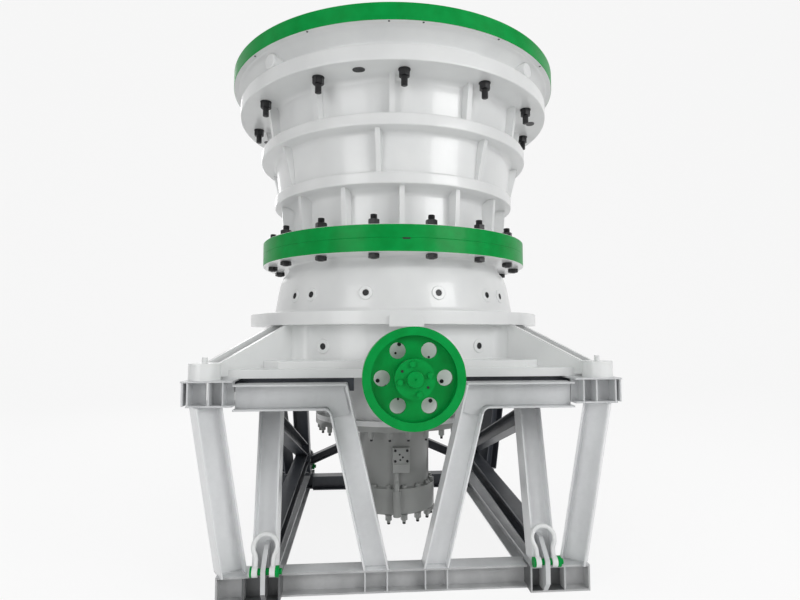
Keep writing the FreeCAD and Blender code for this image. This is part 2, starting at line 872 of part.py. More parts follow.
def make_pipe():
    """The pipe bends outwards over the cover and ends in a thicker sleeve."""
    body = new_body("oil_pipe_body")
    near = plain(s.cylinder_radius + 50)
    far = plain(s.cylinder_cover_radius + s.pipe_sleeve_radius + 4)
    bend = plain(s.pipe_bend)
    angle = math.acos(1 - (far - near) / (2 * bend))
    top = plain(720)
    low = plain(s.cover_top_level + 10)
    rise = bend * math.sin(angle)
    path = sketch_on(body, "YZ_Plane", "pipe_path")
    upper = add_line(path, (-near, top), (-near, low + 2 * rise))
    turn_out = add_arc(path, (-near - bend, low + 2 * rise), bend, -angle, 0)
    turn_down = add_arc(path, (-far + bend, low), bend, math.pi - angle, math.pi)
    lower = add_line(path, (-far, low), (-far, low - 20))
    for join in ((upper, 2, turn_out, 2), (turn_out, 1, turn_down, 1), (turn_down, 2, lower, 1)):
        path.addConstraint(Sketcher.Constraint("Tangent", *join))
    path.addConstraint(Sketcher.Constraint("Vertical", upper))
    path.addConstraint(Sketcher.Constraint("Vertical", lower))
    path.addConstraint(Sketcher.Constraint("Equal", turn_out, turn_down))
    for kind, where, value, words in (
            ("DistanceX", (upper, 1), -near, -(s.cylinder_radius + 50)),
            ("DistanceY", (upper, 1), top, 720),
            ("DistanceX", (lower, 2), -far, -(s.cylinder_cover_radius + s.pipe_sleeve_radius + 4)),
            ("DistanceY", (turn_down, 3), low, s.cover_top_level + 10),
            ("DistanceY", (lower, 2), low - 20, s.cover_top_level - 10),
            ("Radius", (turn_out,), bend, s.pipe_bend)):
        index = path.addConstraint(Sketcher.Constraint(kind, *where, value))
        bind(path, "Constraints[%d]" % index, words)
    doc.recompute()
    stock = sketch_on(body, "XY_Plane", "pipe_stock", 720)
    fill_circle(stock, 0, -(s.cylinder_radius + 50), s.pipe_radius)
    pipe = body.newObject("PartDesign::AdditivePipe", "pipe_run")
    pipe.Profile = stock
    pipe.Spine = (path, [])
    doc.recompute()
    sleeve = sketch_on(body, "XY_Plane", "pipe_sleeve", s.cover_bottom_level)
    fill_circle(sleeve, 0, -(s.cylinder_cover_radius + s.pipe_sleeve_radius + 4), s.pipe_sleeve_radius)
    pad(body, sleeve, s.cover_top_level - s.cover_bottom_level - 5)
    node(body, "oil_pipe")


# Drive: countershaft housing, countershaft and the drive wheel on its hub

def along_front(sketch_body, name, radius, near, far):
    """A round piece along the drive axis, from near to far in front of the crusher's axis."""
    sketch = sketch_on(sketch_body, "XZ_Plane", name, near)
    fill_circle(sketch, 0, s.shaft_level, radius)
    return pad(sketch_body, sketch, far - near)


def bore_along_front(body, name, radius, near, far):
    doc.recompute()
    sketch = sketch_on(body, "XZ_Plane", name, near)
    fill_circle(sketch, 0, s.shaft_level, radius)
    return pocket(body, sketch, far - near, back=True)


def make_drive():
    wheel_back = -s.wheel_plane - s.wheel_width / 2
    wheel_front = -s.wheel_plane + s.wheel_width / 2
    body = new_body("countershaft_housing_body")
    along_front(body, "housing_barrel", s.housing_radius, s.hub_radius - 300, s.housing_nose)
    along_front(body, "housing_flange", s.housing_flange_radius, s.housing_nose - s.housing_flange_height,
                s.housing_nose)
    bore_along_front(body, "housing_bore", s.countershaft_radius + s.running_gap, s.hub_radius - 400,
                     s.housing_nose + 100)
    node(body, "countershaft_housing")
    shaft = new_body("countershaft_body")
    along_front(shaft, "countershaft_run", s.countershaft_radius, s.hub_radius - 200, wheel_front)
    along_front(shaft, "countershaft_end", s.shaft_end_radius, wheel_front,
                wheel_front + s.wheel_hub_height + s.shaft_end_height)
    node(shaft, "countershaft")
    wheel = new_body("drive_wheel_body")
    along_front(wheel, "wheel_disc", s.wheel_radius, wheel_back, wheel_front)
    doc.recompute()
    for name, start, finish in (("wheel_dish_front", s.wheel_web / 2 - s.wheel_plane, wheel_front + 1),
                                ("wheel_dish_back", wheel_back - 1, 0 - s.wheel_web / 2 - s.wheel_plane)):
        sketch = sketch_on(wheel, "XZ_Plane", name, start)
        fill_circle(sketch, 0, s.shaft_level, s.wheel_radius - s.wheel_rim)
        fill_circle(sketch, 0, s.shaft_level, s.wheel_hub_radius)
        pocket(wheel, sketch, finish - start, back=True)
        doc.recompute()
    for i in range(6):
        sketch = sketch_on(wheel, "XZ_Plane", "wheel_hole_%d" % i, wheel_back - 1)
        fill_circle(sketch, s.wheel_hole_circle * cosine(60 * i),
                    s.shaft_level + s.wheel_hole_circle * sine(60 * i), s.wheel_hole_radius)
        pocket(wheel, sketch, s.wheel_width + 2, back=True)
        doc.recompute()
    bore_along_front(wheel, "wheel_bore", s.countershaft_radius, wheel_back - 1, wheel_front + 1)
    node(wheel, "drive_wheel")
    hub = new_body("wheel_hub_body")
    along_front(hub, "wheel_hub_disc", s.wheel_hub_radius, wheel_front, wheel_front + s.wheel_hub_height)
    bore_along_front(hub, "wheel_hub_bore", s.shaft_end_radius, wheel_front - 1,
                     wheel_front + s.wheel_hub_height + 1)
    node(hub, "wheel_hub")


# Joint bolts. Each is a shank through the two flanges with a nut and the stud's end.

def bolt_ring(label, circle, count, start, parts):
    """Parts are (radius, from level, to level, is hexagon), the first is the shank."""
    body = new_body(label + "_body")
    body.AllowCompound = True
    cx = circle * sine(start)
    cy = -circle * cosine(start)
    pads = []
    for i, (radius, low, high, hexagon) in enumerate(parts):
        sketch = sketch_on(body, "XY_Plane", "%s_%d" % (label, i), low)
        if hexagon:
            fill_polygon(sketch, [(cx + radius * cosine(60 * k),
                                   cy + radius * sine(60 * k)) for k in range(6)])
        else:
            fill_circle(sketch, cx, cy, radius)
        pads.append(pad(body, sketch, high - low))
    doc.recompute()
    around(body, pads, count, label + "_ring")
    return node(body, label)


def make_bolts():
    low = s.ring_two_level - s.nut_height
    high = s.ring_two_level + s.ring_two_height
    bolt_ring("top_joint_studs", s.top_bolt_circle, s.top_bolt_count, 0, [
        (s.bolt_radius, low - s.stud_tail, high - 2, False),
        (s.nut_radius, low, s.ring_two_level, True),
    ])
    low = s.split_level - s.flange_height
    high = s.split_level + s.flange_height
    bolt_ring("shell_joint_bolts", s.flange_bolt_circle, s.flange_bolt_count, 180 / s.flange_bolt_count, [
        (s.bolt_radius, low - 10, high + s.nut_height + 45, False),
        (s.nut_radius, high, high + s.nut_height, True),
        (s.nut_radius, low - s.nut_height * 0.7, low, True),
    ])


# Stand

BEAM_TOP = s.beam_level + s.beam_depth / 2
BEAM_UNDER = s.beam_level - s.beam_depth / 2
PAD_UNDER = s.feet_level - s.pad_height


def make_rails():
    level = s.rail_depth / 2
    small = dict(deep=s.rail_depth, wide=s.rail_width)
    front = member("front_bottom_rail", "X", (-s.block_inner, -s.front_rail_place, level),
                   (s.block_inner, -s.front_rail_place, level), **small)
    node(front, "front_bottom_rail")
    back = member("back_bottom_rail", "X", (-s.block_inner, s.front_rail_place, level),
                  (s.block_inner, s.front_rail_place, level), **small)
    node(back, "back_bottom_rail")
    reach = s.block_place - s.block_width / 2
    side = member("side_bottom_rail", "Y", (-s.side_rail_place, -reach, level),
                  (-s.side_rail_place, reach, level), **small)
    pair("side_bottom_rails", side)


def make_bottom_blocks():
    block = member("bottom_block", "X", (-s.block_outer, -s.block_place, s.block_height / 2),
                   (-s.block_inner, -s.block_place, s.block_height / 2),
                   deep=s.block_height, wide=s.block_width)
    lug = new_body("lug_body")
    sketch = sketch_on(lug, "YZ_Plane", "lug_outline")
    slope = (s.post_foot_y - s.post_head_y) / (BEAM_UNDER - s.block_height)
    web_face = s.post_foot_y + s.beam_web / 2 + s.seat_gap
    fill_polygon(sketch, [
        (-s.block_place, s.beam_flange),
        (-s.block_place, s.block_height - s.beam_flange / 2),
        (-web_face, s.block_height - s.beam_flange / 2),
        (-web_face, s.block_height),
        (-web_face + (s.lug_top_level - s.block_height) * slope, s.lug_top_level),
        (-(s.pin_forward - 121), s.lug_top_level),
        (-(s.pin_forward + 48), s.pin_level + 22),
        (-(s.pin_forward + 48), s.pin_level - 150),
        (-(s.block_place + s.block_width / 2), s.beam_flange),
    ])
    pad(lug, sketch, s.lug_thickness, middle=True)
    doc.recompute()
    hole = sketch_on(lug, "YZ_Plane", "lug_hole_outline")
    fill_circle(hole, -s.pin_forward, s.pin_level + s.lug_hole - s.pin_radius - s.seat_gap, s.lug_hole)
    pocket(lug, hole, s.lug_thickness + 2, middle=True)
    place(lug, -s.lug_place)
    stiffeners = []
    places = (s.block_outer - s.plate_stock / 2, s.block_outer - 205, s.block_inner + s.plate_stock / 2)
    for i, x in enumerate(places):
        plate = doc.addObject("Part::Box", "block_stiffener_%d" % i)
        bind(plate, "Length", s.plate_stock)
        bind(plate, "Width", s.block_width)
        bind(plate, "Height", s.block_height)
        place(plate, -x - s.plate_stock / 2, -s.block_place - s.block_width / 2, 0)
        stiffeners.append(plate)
    whole = doc.addObject("Part::MultiFuse", "bottom_block_whole")
    whole.Shapes = [block, lug] + stiffeners
    four("bottom_corner_blocks", whole)


def make_top_beams():
    reach = s.front_beam_place - s.beam_width / 2
    body = new_body("front_top_beam_body")
    slope = (s.gap_head_place - s.gap_foot_place) / (s.beam_level - s.beam_depth / 2 - s.rail_depth)
    low_end = s.gap_half_width - s.beam_depth * slope
    outline = [(-low_end, BEAM_UNDER), (-s.gap_half_width, BEAM_TOP),
               (-s.pad_inner, BEAM_TOP), (-s.pad_inner, BEAM_UNDER)]
    web = sketch_on(body, "XZ_Plane", "beam_web_outline", s.front_beam_place)
    fill_polygon(web, outline)
    pad(body, web, s.beam_web, middle=True)
    rim = sketch_on(body, "XZ_Plane", "beam_flange_outline", s.front_beam_place)
    fill_polygon(rim, outline)
    fill_polygon(rim, [(-(low_end + s.beam_flange), BEAM_UNDER + s.beam_flange),
                       (-(s.gap_half_width + s.beam_flange), BEAM_TOP - s.beam_flange),
                       (-s.pad_inner + s.beam_flange, BEAM_TOP - s.beam_flange),
                       (-s.pad_inner + s.beam_flange, BEAM_UNDER + s.beam_flange)])
    pad(body, rim, s.beam_width, middle=True)
    pair("front_top_beams", body)
    back = member("back_top_beam", "X", (-s.pad_inner, s.front_beam_place, s.beam_level),
                  (s.pad_inner, s.front_beam_place, s.beam_level))
    node(back, "back_top_beam")
    side = member("side_top_beam", "Y", (-s.side_beam_place, -reach, s.beam_level),
                  (-s.side_beam_place, reach, s.beam_level))
    pair("side_top_beams", side)


def make_top_pads():
    body = new_body("top_pad_body")
    low = -PAD_OUTER
    high = -s.pad_inner
    for name, level in (("pad_plate_low", PAD_UNDER), ("pad_plate_high", s.feet_level - s.plate_stock)):
        sketch = sketch_on(body, "XY_Plane", name, level)
        fill_polygon(sketch, [(low, low), (high, low), (high, high), (low, high)])
        pad(body, sketch, s.plate_stock)
    middle = s.pad_inner + s.pad_width / 2
    half = s.plate_stock / 2
    web = sketch_on(body, "XY_Plane", "pad_web", PAD_UNDER)
    fill_polygon(web, [(low, -middle - half), (high, -middle - half),
                       (high, -middle + half), (low, -middle + half)])
    pad(body, web, s.pad_height)
    for name, share in (("inner", 0.356), ("outer", 0.73)):
        doc.recompute()
        middle = s.pad_inner + share * s.pad_width
        sketch = sketch_on(body, "XY_Plane", "pad_stiffener_" + name, PAD_UNDER)
        fill_polygon(sketch, [(-middle - half, low), (-middle + half, low),
                              (-middle + half, high), (-middle - half, high)])
        pad(body, sketch, s.pad_height)
    four("top_corner_pads", body)


def make_legs():
    leg = member("corner_leg", "Z", (-s.leg_foot_x, -s.leg_foot_y, s.block_height),
                 (-s.leg_head_x, -s.leg_head_y, PAD_UNDER))
    four("corner_legs", leg)
    inner = member("front_inner_leg", "Z", (-s.gap_foot_place, -s.front_rail_place, s.rail_depth),
                   (-s.gap_head_place, -s.front_beam_place, BEAM_UNDER), wide=s.rail_width)
    pair("front_inner_legs", inner)
    post = member("side_post", "Z", (-s.side_rail_place, -s.post_foot_y, s.block_height),
                  (-s.side_beam_place, -s.post_head_y, BEAM_UNDER))
    four("side_posts", post)


def make_braces():
    back_post = member("back_post_space", "Z", (-s.side_rail_place, s.post_foot_y, s.block_height),
                       (-s.side_beam_place, s.post_head_y, BEAM_UNDER), outline=box_corners)
    front_post = member("front_post_space", "Z", (-s.side_rail_place, -s.post_foot_y, s.block_height),
                        (-s.side_beam_place, -s.post_head_y, BEAM_UNDER), outline=box_corners)
    size_words = dict(deep=s.brace_depth, wide=s.brace_width)
    share = (s.brace_node_level - s.block_height) / (BEAM_UNDER - s.block_height)
    node_y = s.post_foot_y - (s.post_foot_y - s.post_head_y) * share
    upper_ends = ((-s.side_beam_place, -s.post_head_y - 40, BEAM_UNDER - 120),
                  (-s.side_rail_place, node_y, s.brace_node_level))
    upper = member("upper_brace", "Y", *upper_ends, **size_words)
    upper_space = member("upper_brace_space", "Y", *upper_ends, outline=box_corners, **size_words)
    lower = member("lower_brace", "Y", (-s.side_rail_place, -s.post_foot_y + 60, s.block_height + 120),
                   (-s.side_rail_place, node_y, s.brace_node_level - 60), **size_words)
    pair("side_braces_upper", trimmed("upper_brace_cut", upper, [front_post, back_post]))
    pair("side_braces_lower", trimmed("lower_brace_cut", lower, [front_post, back_post, upper_space]))


# Back of the stand: two braces cross between the back posts

def make_back_braces():
    ends = []
    for side in (-1, 1):
        low = (side * (s.side_rail_place - 60), s.post_foot_y - 40, s.block_height + 160)
        high = (-side * (s.side_beam_place - 60), s.post_head_y + 40, BEAM_UNDER - 100)
        ends.append((low, high))
    small = dict(deep=s.back_brace_depth, wide=s.brace_width)
    across = member("back_brace_whole", "X", *ends[0], **small)
    other = member("back_brace_crossing", "X", *ends[1], **small)
    space = member("back_brace_space", "X", *ends[0], outline=box_corners, **small)
    post = member("braced_post_space", "Z", (-s.side_rail_place, s.post_foot_y, s.block_height),
                  (-s.side_beam_place, s.post_head_y, BEAM_UNDER), outline=box_corners)
    other_post = mirrored("braced_post_space_right", post, across_x=True)
    node(trimmed("back_brace_cut", across, [post, other_post]), "back_brace")
    node(trimmed("crossing_brace_cut", other, [post, other_post, space]), "back_brace_halves")


# Bow shackles. Each hangs on its pin in a lug and leans back towards the stand's post.

def add_line(sketch, start, end):
    return sketch.addGeometry(Part.LineSegment(V(start[0], start[1], 0), V(end[0], end[1], 0)), False)


def add_arc(sketch, centre, radius, start, end):
    circle = Part.Circle(V(centre[0], centre[1], 0), V(0, 0, 1), radius)
    return sketch.addGeometry(Part.ArcOfCircle(circle, start, end), False)


def bow_path(body, name):
    """The line the bow's round stock follows, from one ear over the top to the other."""
    ear = plain((s.ear_opening + s.ear_thickness) / 2)
    top = plain((s.bow_opening + s.bow_stock) / 2)
    neck = plain(s.bow_neck)
    centre = plain(s.pin_radius + s.bow_length + s.bow_stock / 2) - top
    rise = centre - math.sqrt((top + neck) ** 2 - (ear + neck) ** 2)
    tilt = math.atan2(centre - rise, ear + neck)
    sketch = sketch_on(body, "XZ_Plane", name)
    left_leg = add_line(sketch, (-ear, 0), (-ear, rise))
    left_neck = add_arc(sketch, (-ear - neck, rise), neck, 0, tilt)
    crown = add_arc(sketch, (0, centre), top, -tilt, math.pi + tilt)
    right_neck = add_arc(sketch, (ear + neck, rise), neck, math.pi - tilt, math.pi)
    right_leg = add_line(sketch, (ear, rise), (ear, 0))
    joins = [(left_leg, 2, left_neck, 1), (left_neck, 2, crown, 2), (right_neck, 1, crown, 1),
             (right_neck, 2, right_leg, 1)]
    for join in joins:
        sketch.addConstraint(Sketcher.Constraint("Tangent", *join))
    sketch.addConstraint(Sketcher.Constraint("Vertical", left_leg))
    sketch.addConstraint(Sketcher.Constraint("Vertical", right_leg))
    sketch.addConstraint(Sketcher.Constraint("Equal", left_neck, right_neck))
    for kind, where, value, text in (
            ("DistanceX", (left_leg, 1), -ear, -(s.ear_opening + s.ear_thickness) / 2),
            ("DistanceY", (left_leg, 1), 0, 0),
            ("DistanceX", (right_leg, 2), ear, (s.ear_opening + s.ear_thickness) / 2),
            ("DistanceY", (right_leg, 2), 0, 0),
            ("DistanceX", (crown, 3), 0, 0),
            ("DistanceY", (crown, 3), centre, s.pin_radius + s.bow_length - s.bow_opening / 2),
            ("Radius", (crown,), top, (s.bow_opening + s.bow_stock) / 2),
            ("Radius", (left_neck,), neck, s.bow_neck)):
        index = sketch.addConstraint(Sketcher.Constraint(kind, *where, value))
        bind(sketch, "Constraints[%d]" % index, text)
    return sketch


def make_bow(label):
    body = new_body(label + "_body")
    path = bow_path(body, label + "_path")
    doc.recompute()
    stock = sketch_on(body, "XY_Plane", label + "_stock")
    fill_circle(stock, -(s.ear_opening + s.ear_thickness) / 2, 0, s.bow_stock / 2)
    pipe = body.newObject("PartDesign::AdditivePipe", label + "_pipe")
    pipe.Profile = stock
    pipe.Spine = (path, [])
    doc.recompute()
    for side, back in ((-1, False), (1, True)):
        ear = sketch_on(body, "YZ_Plane", "%s_ear_%s" % (label, "left" if back else "right"),
                        (-1 if back else 1) * s.ear_opening / 2)
        fill_circle(ear, 0, 0, s.ear_radius)
        pad(body, ear, s.ear_thickness, back=back)
        doc.recompute()
    hole = sketch_on(body, "YZ_Plane", label + "_hole")
    fill_circle(hole, 0, 0, s.pin_radius)
    pocket(body, hole, s.ear_opening + 3 * s.ear_thickness, middle=True)
    return body


def make_pin(label):
    body = new_body(label + "_body")
    reach = s.ear_opening / 2 + s.ear_thickness
    parts = (("shank", s.pin_radius, -reach, reach),
             ("head", s.pin_radius + 14, -reach - 16, -reach),
             ("nut", s.pin_radius + 16, reach, reach + 28),
             ("tail", s.pin_radius - 3, reach + 28, reach + 48))
    for name, radius, near, far in parts:
        sketch = sketch_on(body, "YZ_Plane", "%s_%s" % (label, name), near)
        fill_circle(sketch, 0, 0, radius)
        pad(body, sketch, far - near)
        doc.recompute()
    return body


def make_shackles():
    for front, depth_word in ((True, "front"), (False, "back")):
        for right, side_word in ((False, "left"), (True, "right")):
            for part, make_piece in (("bow", make_bow), ("pin", make_pin)):
                label = "%s_%s_shackle_%s" % (depth_word, side_word, part)
                body = make_piece(label)
                axis = V(-1, 0, 0) if front else V(1, 0, 0)
                body.Placement = FreeCAD.Placement(V(), FreeCAD.Rotation(axis, plain(s.bow_lean)))
                place(body, s.lug_place if right else -s.lug_place,
                      -s.pin_forward if front else s.pin_forward, s.pin_level)
                bind(body, "Placement.Rotation.Angle", s.bow_lean)
                node(body, label)


MAKERS = [
    make_spider_ring, make_spider_bridge, make_spider_cap, make_top_shell, make_joint_collar,
    make_bottom_shell, make_base_ring, make_base, make_concave_liner, make_mantle, make_main_shaft,
    make_centre_hub, make_cylinder_group, make_manifold, make_drive, make_bolts, make_rails,
    make_bottom_blocks, make_top_beams, make_top_pads, make_legs, make_braces, make_back_braces,
    make_shackles,
]
for make in MAKERS:
    make()
    doc.recompute()


def faults():
    for thing in doc.Objects:
        if "Invalid" in thing.State or "Error" in thing.State:
            yield "%s is %s" % (thing.Label, thing.State)
    for thing in NODES:
        if thing.Shape.isNull() or not thing.Shape.isValid():
            yield "%s has no valid shape" % thing.Label


problems = list(faults())
if problems:
    raise SystemExit("\n".join(problems))
os.makedirs("parts", exist_ok=True)
for thing in NODES:
    thing.Shape.exportStep(os.path.join("parts", thing.Label + ".step"))
    print(thing.Label, len(thing.Shape.Solids), round(thing.Shape.Volume / 1e9, 4))
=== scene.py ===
# %% [markdown]
# # A gyratory crusher on its welded stand
# The machine is a stack of heavy white castings: a square base, a bell, a ribbed shell that flares
# upwards, and a spider ring on top. A green wheel drives it from the front. The stand under it is
# welded from rolled steel. The imported CAD model gives every piece its place and its size, so this
# script loads it first.

# %% Load the frame
import json
import math
import bmesh
import bpy
from mathutils import Matrix, Vector


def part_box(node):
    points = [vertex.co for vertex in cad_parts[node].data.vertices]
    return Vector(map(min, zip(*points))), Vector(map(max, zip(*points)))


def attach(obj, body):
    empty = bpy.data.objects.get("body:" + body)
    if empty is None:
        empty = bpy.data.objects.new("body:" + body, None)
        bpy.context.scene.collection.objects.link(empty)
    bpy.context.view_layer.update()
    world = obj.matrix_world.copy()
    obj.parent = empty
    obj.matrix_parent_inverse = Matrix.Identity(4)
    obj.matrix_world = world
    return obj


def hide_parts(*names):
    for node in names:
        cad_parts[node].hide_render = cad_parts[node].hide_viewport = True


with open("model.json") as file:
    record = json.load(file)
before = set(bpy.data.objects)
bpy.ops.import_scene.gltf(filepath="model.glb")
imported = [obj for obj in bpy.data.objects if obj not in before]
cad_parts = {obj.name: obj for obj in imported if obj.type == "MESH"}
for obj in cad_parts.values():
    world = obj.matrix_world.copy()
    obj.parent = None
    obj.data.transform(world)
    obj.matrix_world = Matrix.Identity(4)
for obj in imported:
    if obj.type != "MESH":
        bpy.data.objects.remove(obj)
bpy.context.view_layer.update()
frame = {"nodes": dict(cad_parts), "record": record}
record = frame["record"]
slot_of = {entry["node"]: entry["material_slot"] for entry in record["subparts"]}

# %% [markdown]
# ## Shader maths
# A painted casting is not one flat colour: the paint pools, the casting under it is rough, and dust
# lies where a hand doesn't reach. Each of these is a little sum of noise and masks. Wiring them by
# hand is slow to read, so a small class wraps a socket and turns Python's operators into Math nodes.

# %% A socket that can be reckoned with
class Wire:
    """A socket in a material's tree. Sums with it add Math nodes."""

    def __init__(self, tree, socket):
        self.tree = tree
        self.socket = socket

    def maths(self, operation, *values):
        return self.add("ShaderNodeMath", {"operation": operation}, dict(enumerate(values)))

    def add(self, kind, settings=None, inputs=None, out=0):
        return add_node(self.tree, kind, settings, inputs, out)

    def __add__(self, other):
        return self.maths("ADD", self, other)

    def __radd__(self, other):
        return self.maths("ADD", other, self)

    def __sub__(self, other):
        return self.maths("SUBTRACT", self, other)

    def __rsub__(self, other):
        return self.maths("SUBTRACT", other, self)

    def __mul__(self, other):
        return self.maths("MULTIPLY", self, other)

    def __rmul__(self, other):
        return self.maths("MULTIPLY", other, self)

    def within(self, low, high):
        """0 below low, 1 above high, and a straight ramp between them."""
        return self.add("ShaderNodeMapRange", {"clamp": True}, {0: self, 1: low, 2: high})

    def twin(self, name):
        """Another output of the node that this socket belongs to."""
        return Wire(self.tree, self.socket.node.outputs[name])


def add_node(tree, kind, settings=None, inputs=None, out=0):
    """Any node: its settings first, then the values or links of its sockets."""
    made = tree.nodes.new(kind)
    for name, value in (settings or {}).items():
        setattr(made, name, value)
    for name, value in (inputs or {}).items():
        if isinstance(value, Wire):
            tree.links.new(value.socket, made.inputs[name])
        else:
            made.inputs[name].default_value = value
    return Wire(tree, made.outputs[out])


def mix_colours(tree, share, first, second):
    """The first colour where share is 0, the second where it is 1."""
    return add_node(tree, "ShaderNodeMix", {"data_type": "RGBA"},
                    {0: share, 6: (*first, 1), 7: (*second, 1)}, 2)


def place_of(tree):
    """The point in metres in the piece's own frame, which is the row frame at rest."""
    return add_node(tree, "ShaderNodeTexCoord", out="Object")


def noise(tree, size, detail=3, rough=0.5, stretch=None):
    """Cloudy noise whose blobs are about size metres across."""
    point = place_of(tree)
    if stretch:
        point = add_node(tree, "ShaderNodeMapping", {}, {"Vector": point, "Scale": stretch})
    return add_node(tree, "ShaderNodeTexNoise", {},
                    {"Vector": point, "Scale": 1 / size, "Detail": detail, "Roughness": rough})

print("shader maths ready")

# %% [markdown]
# ## Finishes
# The castings wear a thick gloss white enamel. It levels out, but the sand-cast skin still shows
# through it as a soft waviness, and the gloss itself is slightly uneven. A Principled shader with a
# clear coat gives the sharp highlight; two noises bump it, a broad one for the casting and a fine one
# for the orange peel of the spray.

# %% Start a material
def start_material(name, metallic=0.0, coat=0.0, coat_rough=0.05, specular=0.5):
    """A new Principled material, its tree and its shader."""
    material = bpy.data.materials.new(name)
    material.use_nodes = True
    tree = material.node_tree
    shader = tree.nodes["Principled BSDF"]
    shader.inputs["Metallic"].default_value = metallic
    shader.inputs["Coat Weight"].default_value = coat
    shader.inputs["Coat Roughness"].default_value = coat_rough
    shader.inputs["Specular IOR Level"].default_value = specular
    return material, tree, shader


def feed(tree, shader, colour, rough, height, bump_metres):
    """Wire colour, roughness and a height into the shader."""
    bump = add_node(tree, "ShaderNodeBump", {}, {"Height": height, "Distance": bump_metres})
    for name, wire in (("Base Color", colour), ("Roughness", rough), ("Normal", bump)):
        tree.links.new(wire.socket, shader.inputs[name])

# %% Gloss white enamel on castings
def white_enamel(name, colour, shade, coat):
    material, tree, shader = start_material(name, coat=coat, coat_rough=0.08)
    broad = noise(tree, 0.35, 2)
    casting = noise(tree, 0.045, 4, 0.6)
    peel = noise(tree, 0.006, 2)
    blotch = (broad - 0.35).within(0.0, 0.45)
    tint = mix_colours(tree, blotch, shade, colour)
    rough = 0.26 + casting * 0.10
    height = casting * 0.8 + peel * 0.12
    feed(tree, shader, tint, rough, height, 0.0016)
    return material


casting_white = white_enamel("casting_white", (0.84, 0.85, 0.845), (0.78, 0.79, 0.79), 0.35)
# The second, darker white is painted shade: the castings' enamel, darkened for the parts in the machine's
# shade.
casting_painted_shade = white_enamel("casting_painted_shade", (0.42, 0.43, 0.42), (0.34, 0.35, 0.34), 0.2)
print("made", casting_white.name, casting_painted_shade.name)

# %% [markdown]
# The green of the rim, the flanges and the wheel is the same enamel in a strong colour. A strong
# colour shows the sprayed skin more, so its roughness varies more.

# %% Green enamel
def green_enamel():
    material, tree, shader = start_material("signal_green", coat=0.06, coat_rough=0.12, specular=0.10)
    cloud = noise(tree, 0.12, 3)
    peel = noise(tree, 0.005, 2)
    tint = mix_colours(tree, cloud.within(0.3, 0.7), (0.0, 0.27, 0.045), (0.0, 0.33, 0.06))
    feed(tree, shader, tint, 0.30 + cloud * 0.14, peel + cloud * 0.6, 0.0008)
    return material


signal_green = green_enamel()
print("made", signal_green.name)

# %% Rolled steel in pale grey paint
def stand_paint(name, light, dark, rough):
    material, tree, shader = start_material(name, coat=0.12, coat_rough=0.2)
    sweep = noise(tree, 0.30, 3, 0.5, (1.0, 1.0, 0.4))
    scuff = noise(tree, 0.05, 3, 0.6)
    speck = noise(tree, 0.008, 3)
    worn = (sweep * 0.8 + scuff * 0.2).within(0.30, 0.60)
    tint = mix_colours(tree, worn, dark, light)
    feed(tree, shader, tint, rough + scuff * 0.12, scuff * 0.4 + speck * 0.15, 0.0005)
    return material


stand_pale = stand_paint("stand_pale", (0.66, 0.67, 0.68), (0.54, 0.55, 0.56), 0.26)
# The lighter grey is painted light, for the faces of the stand that the front lamps reach.
stand_painted_light = stand_paint("stand_painted_light", (0.84, 0.85, 0.86), (0.72, 0.73, 0.74), 0.26)
# The mid grey is painted shade for the front rail and the outer pockets of the corner blocks, with a wider
# mottle for their worn paint.
stand_wear_and_shade = stand_paint("stand_wear_and_shade", (0.54, 0.545, 0.55), (0.38, 0.385, 0.39), 0.30)
# The dark grey is painted shade, for the pockets of the corner blocks beside the shackles.
stand_painted_deep_shade = stand_paint("stand_painted_deep_shade", (0.15, 0.153, 0.156), (0.08, 0.083, 0.086), 0.38)
# The near-black is painted shade, for the braces and the members behind the crusher.
stand_painted_back_shade = stand_paint("stand_painted_back_shade", (0.055, 0.062, 0.075), (0.025, 0.029, 0.037), 0.40)
print("made", stand_pale.name, stand_painted_back_shade.name)

# %% Black bolts, bare steel and liner iron
def dark_steel(name, light, dark, metallic, rough, grain=0.006):
    material, tree, shader = start_material(name, metallic=metallic)
    cloud = noise(tree, grain * 8, 3)
    fine = noise(tree, grain, 3)
    tint = mix_colours(tree, cloud.within(0.3, 0.7), dark, light)
    feed(tree, shader, tint, rough + fine * 0.2, fine, 0.0006)
    return material


black_bolts = dark_steel("black_bolts", (0.030, 0.030, 0.032), (0.012, 0.012, 0.013), 0.3, 0.28)
bare_steel = dark_steel("bare_steel", (0.62, 0.62, 0.63), (0.48, 0.48, 0.50), 1.0, 0.2)
liner_iron = dark_steel("liner_iron", (0.16, 0.155, 0.15), (0.08, 0.08, 0.08), 0.6, 0.45, 0.012)
print("made", black_bolts.name, bare_steel.name, liner_iron.name)

# %% [markdown]
# ## Painting the frame
# Each CAD node first takes the finish of its slot in the record. The members of the stand that lie in
# the machine's shade get darker paints further down, once the pieces beside them are made.

# %% Give each CAD node its finish
finishes = {"casting_white": casting_white, "signal_green": signal_green, "stand_white": stand_pale,
            "black_bolts": black_bolts, "bare_steel": bare_steel, "liner_iron": liner_iron}


def paint(piece, material):
    piece.data.materials.clear()
    piece.data.materials.append(material)


def soften(piece, angle=32):
    """Smooth shading across shallow edges only."""
    piece.data.shade_smooth()
    bpy.context.view_layer.objects.active = piece
    for other in bpy.context.selected_objects:
        other.select_set(False)
    piece.select_set(True)
    bpy.ops.object.shade_smooth_by_angle(angle=math.radians(angle))
    piece.select_set(False)


for name, thing in frame["nodes"].items():
    paint(thing, finishes[slot_of[name]])
    soften(thing)
print("painted", len(frame["nodes"]), "nodes")

# %% [markdown]
# ## Tools for turned, ribbed and bolted castings
# Most of the crusher is turned: a profile swept about the upright axis. A mesh spun from a few
# sharp corners looks like sheet metal, so each corner is first rounded into a short curve, wide
# where the casting has a fillet and narrow where a tool has cut it. One helper rounds the corners,
# one spins them, and one turns the finished bmesh into a piece that rides on its body.

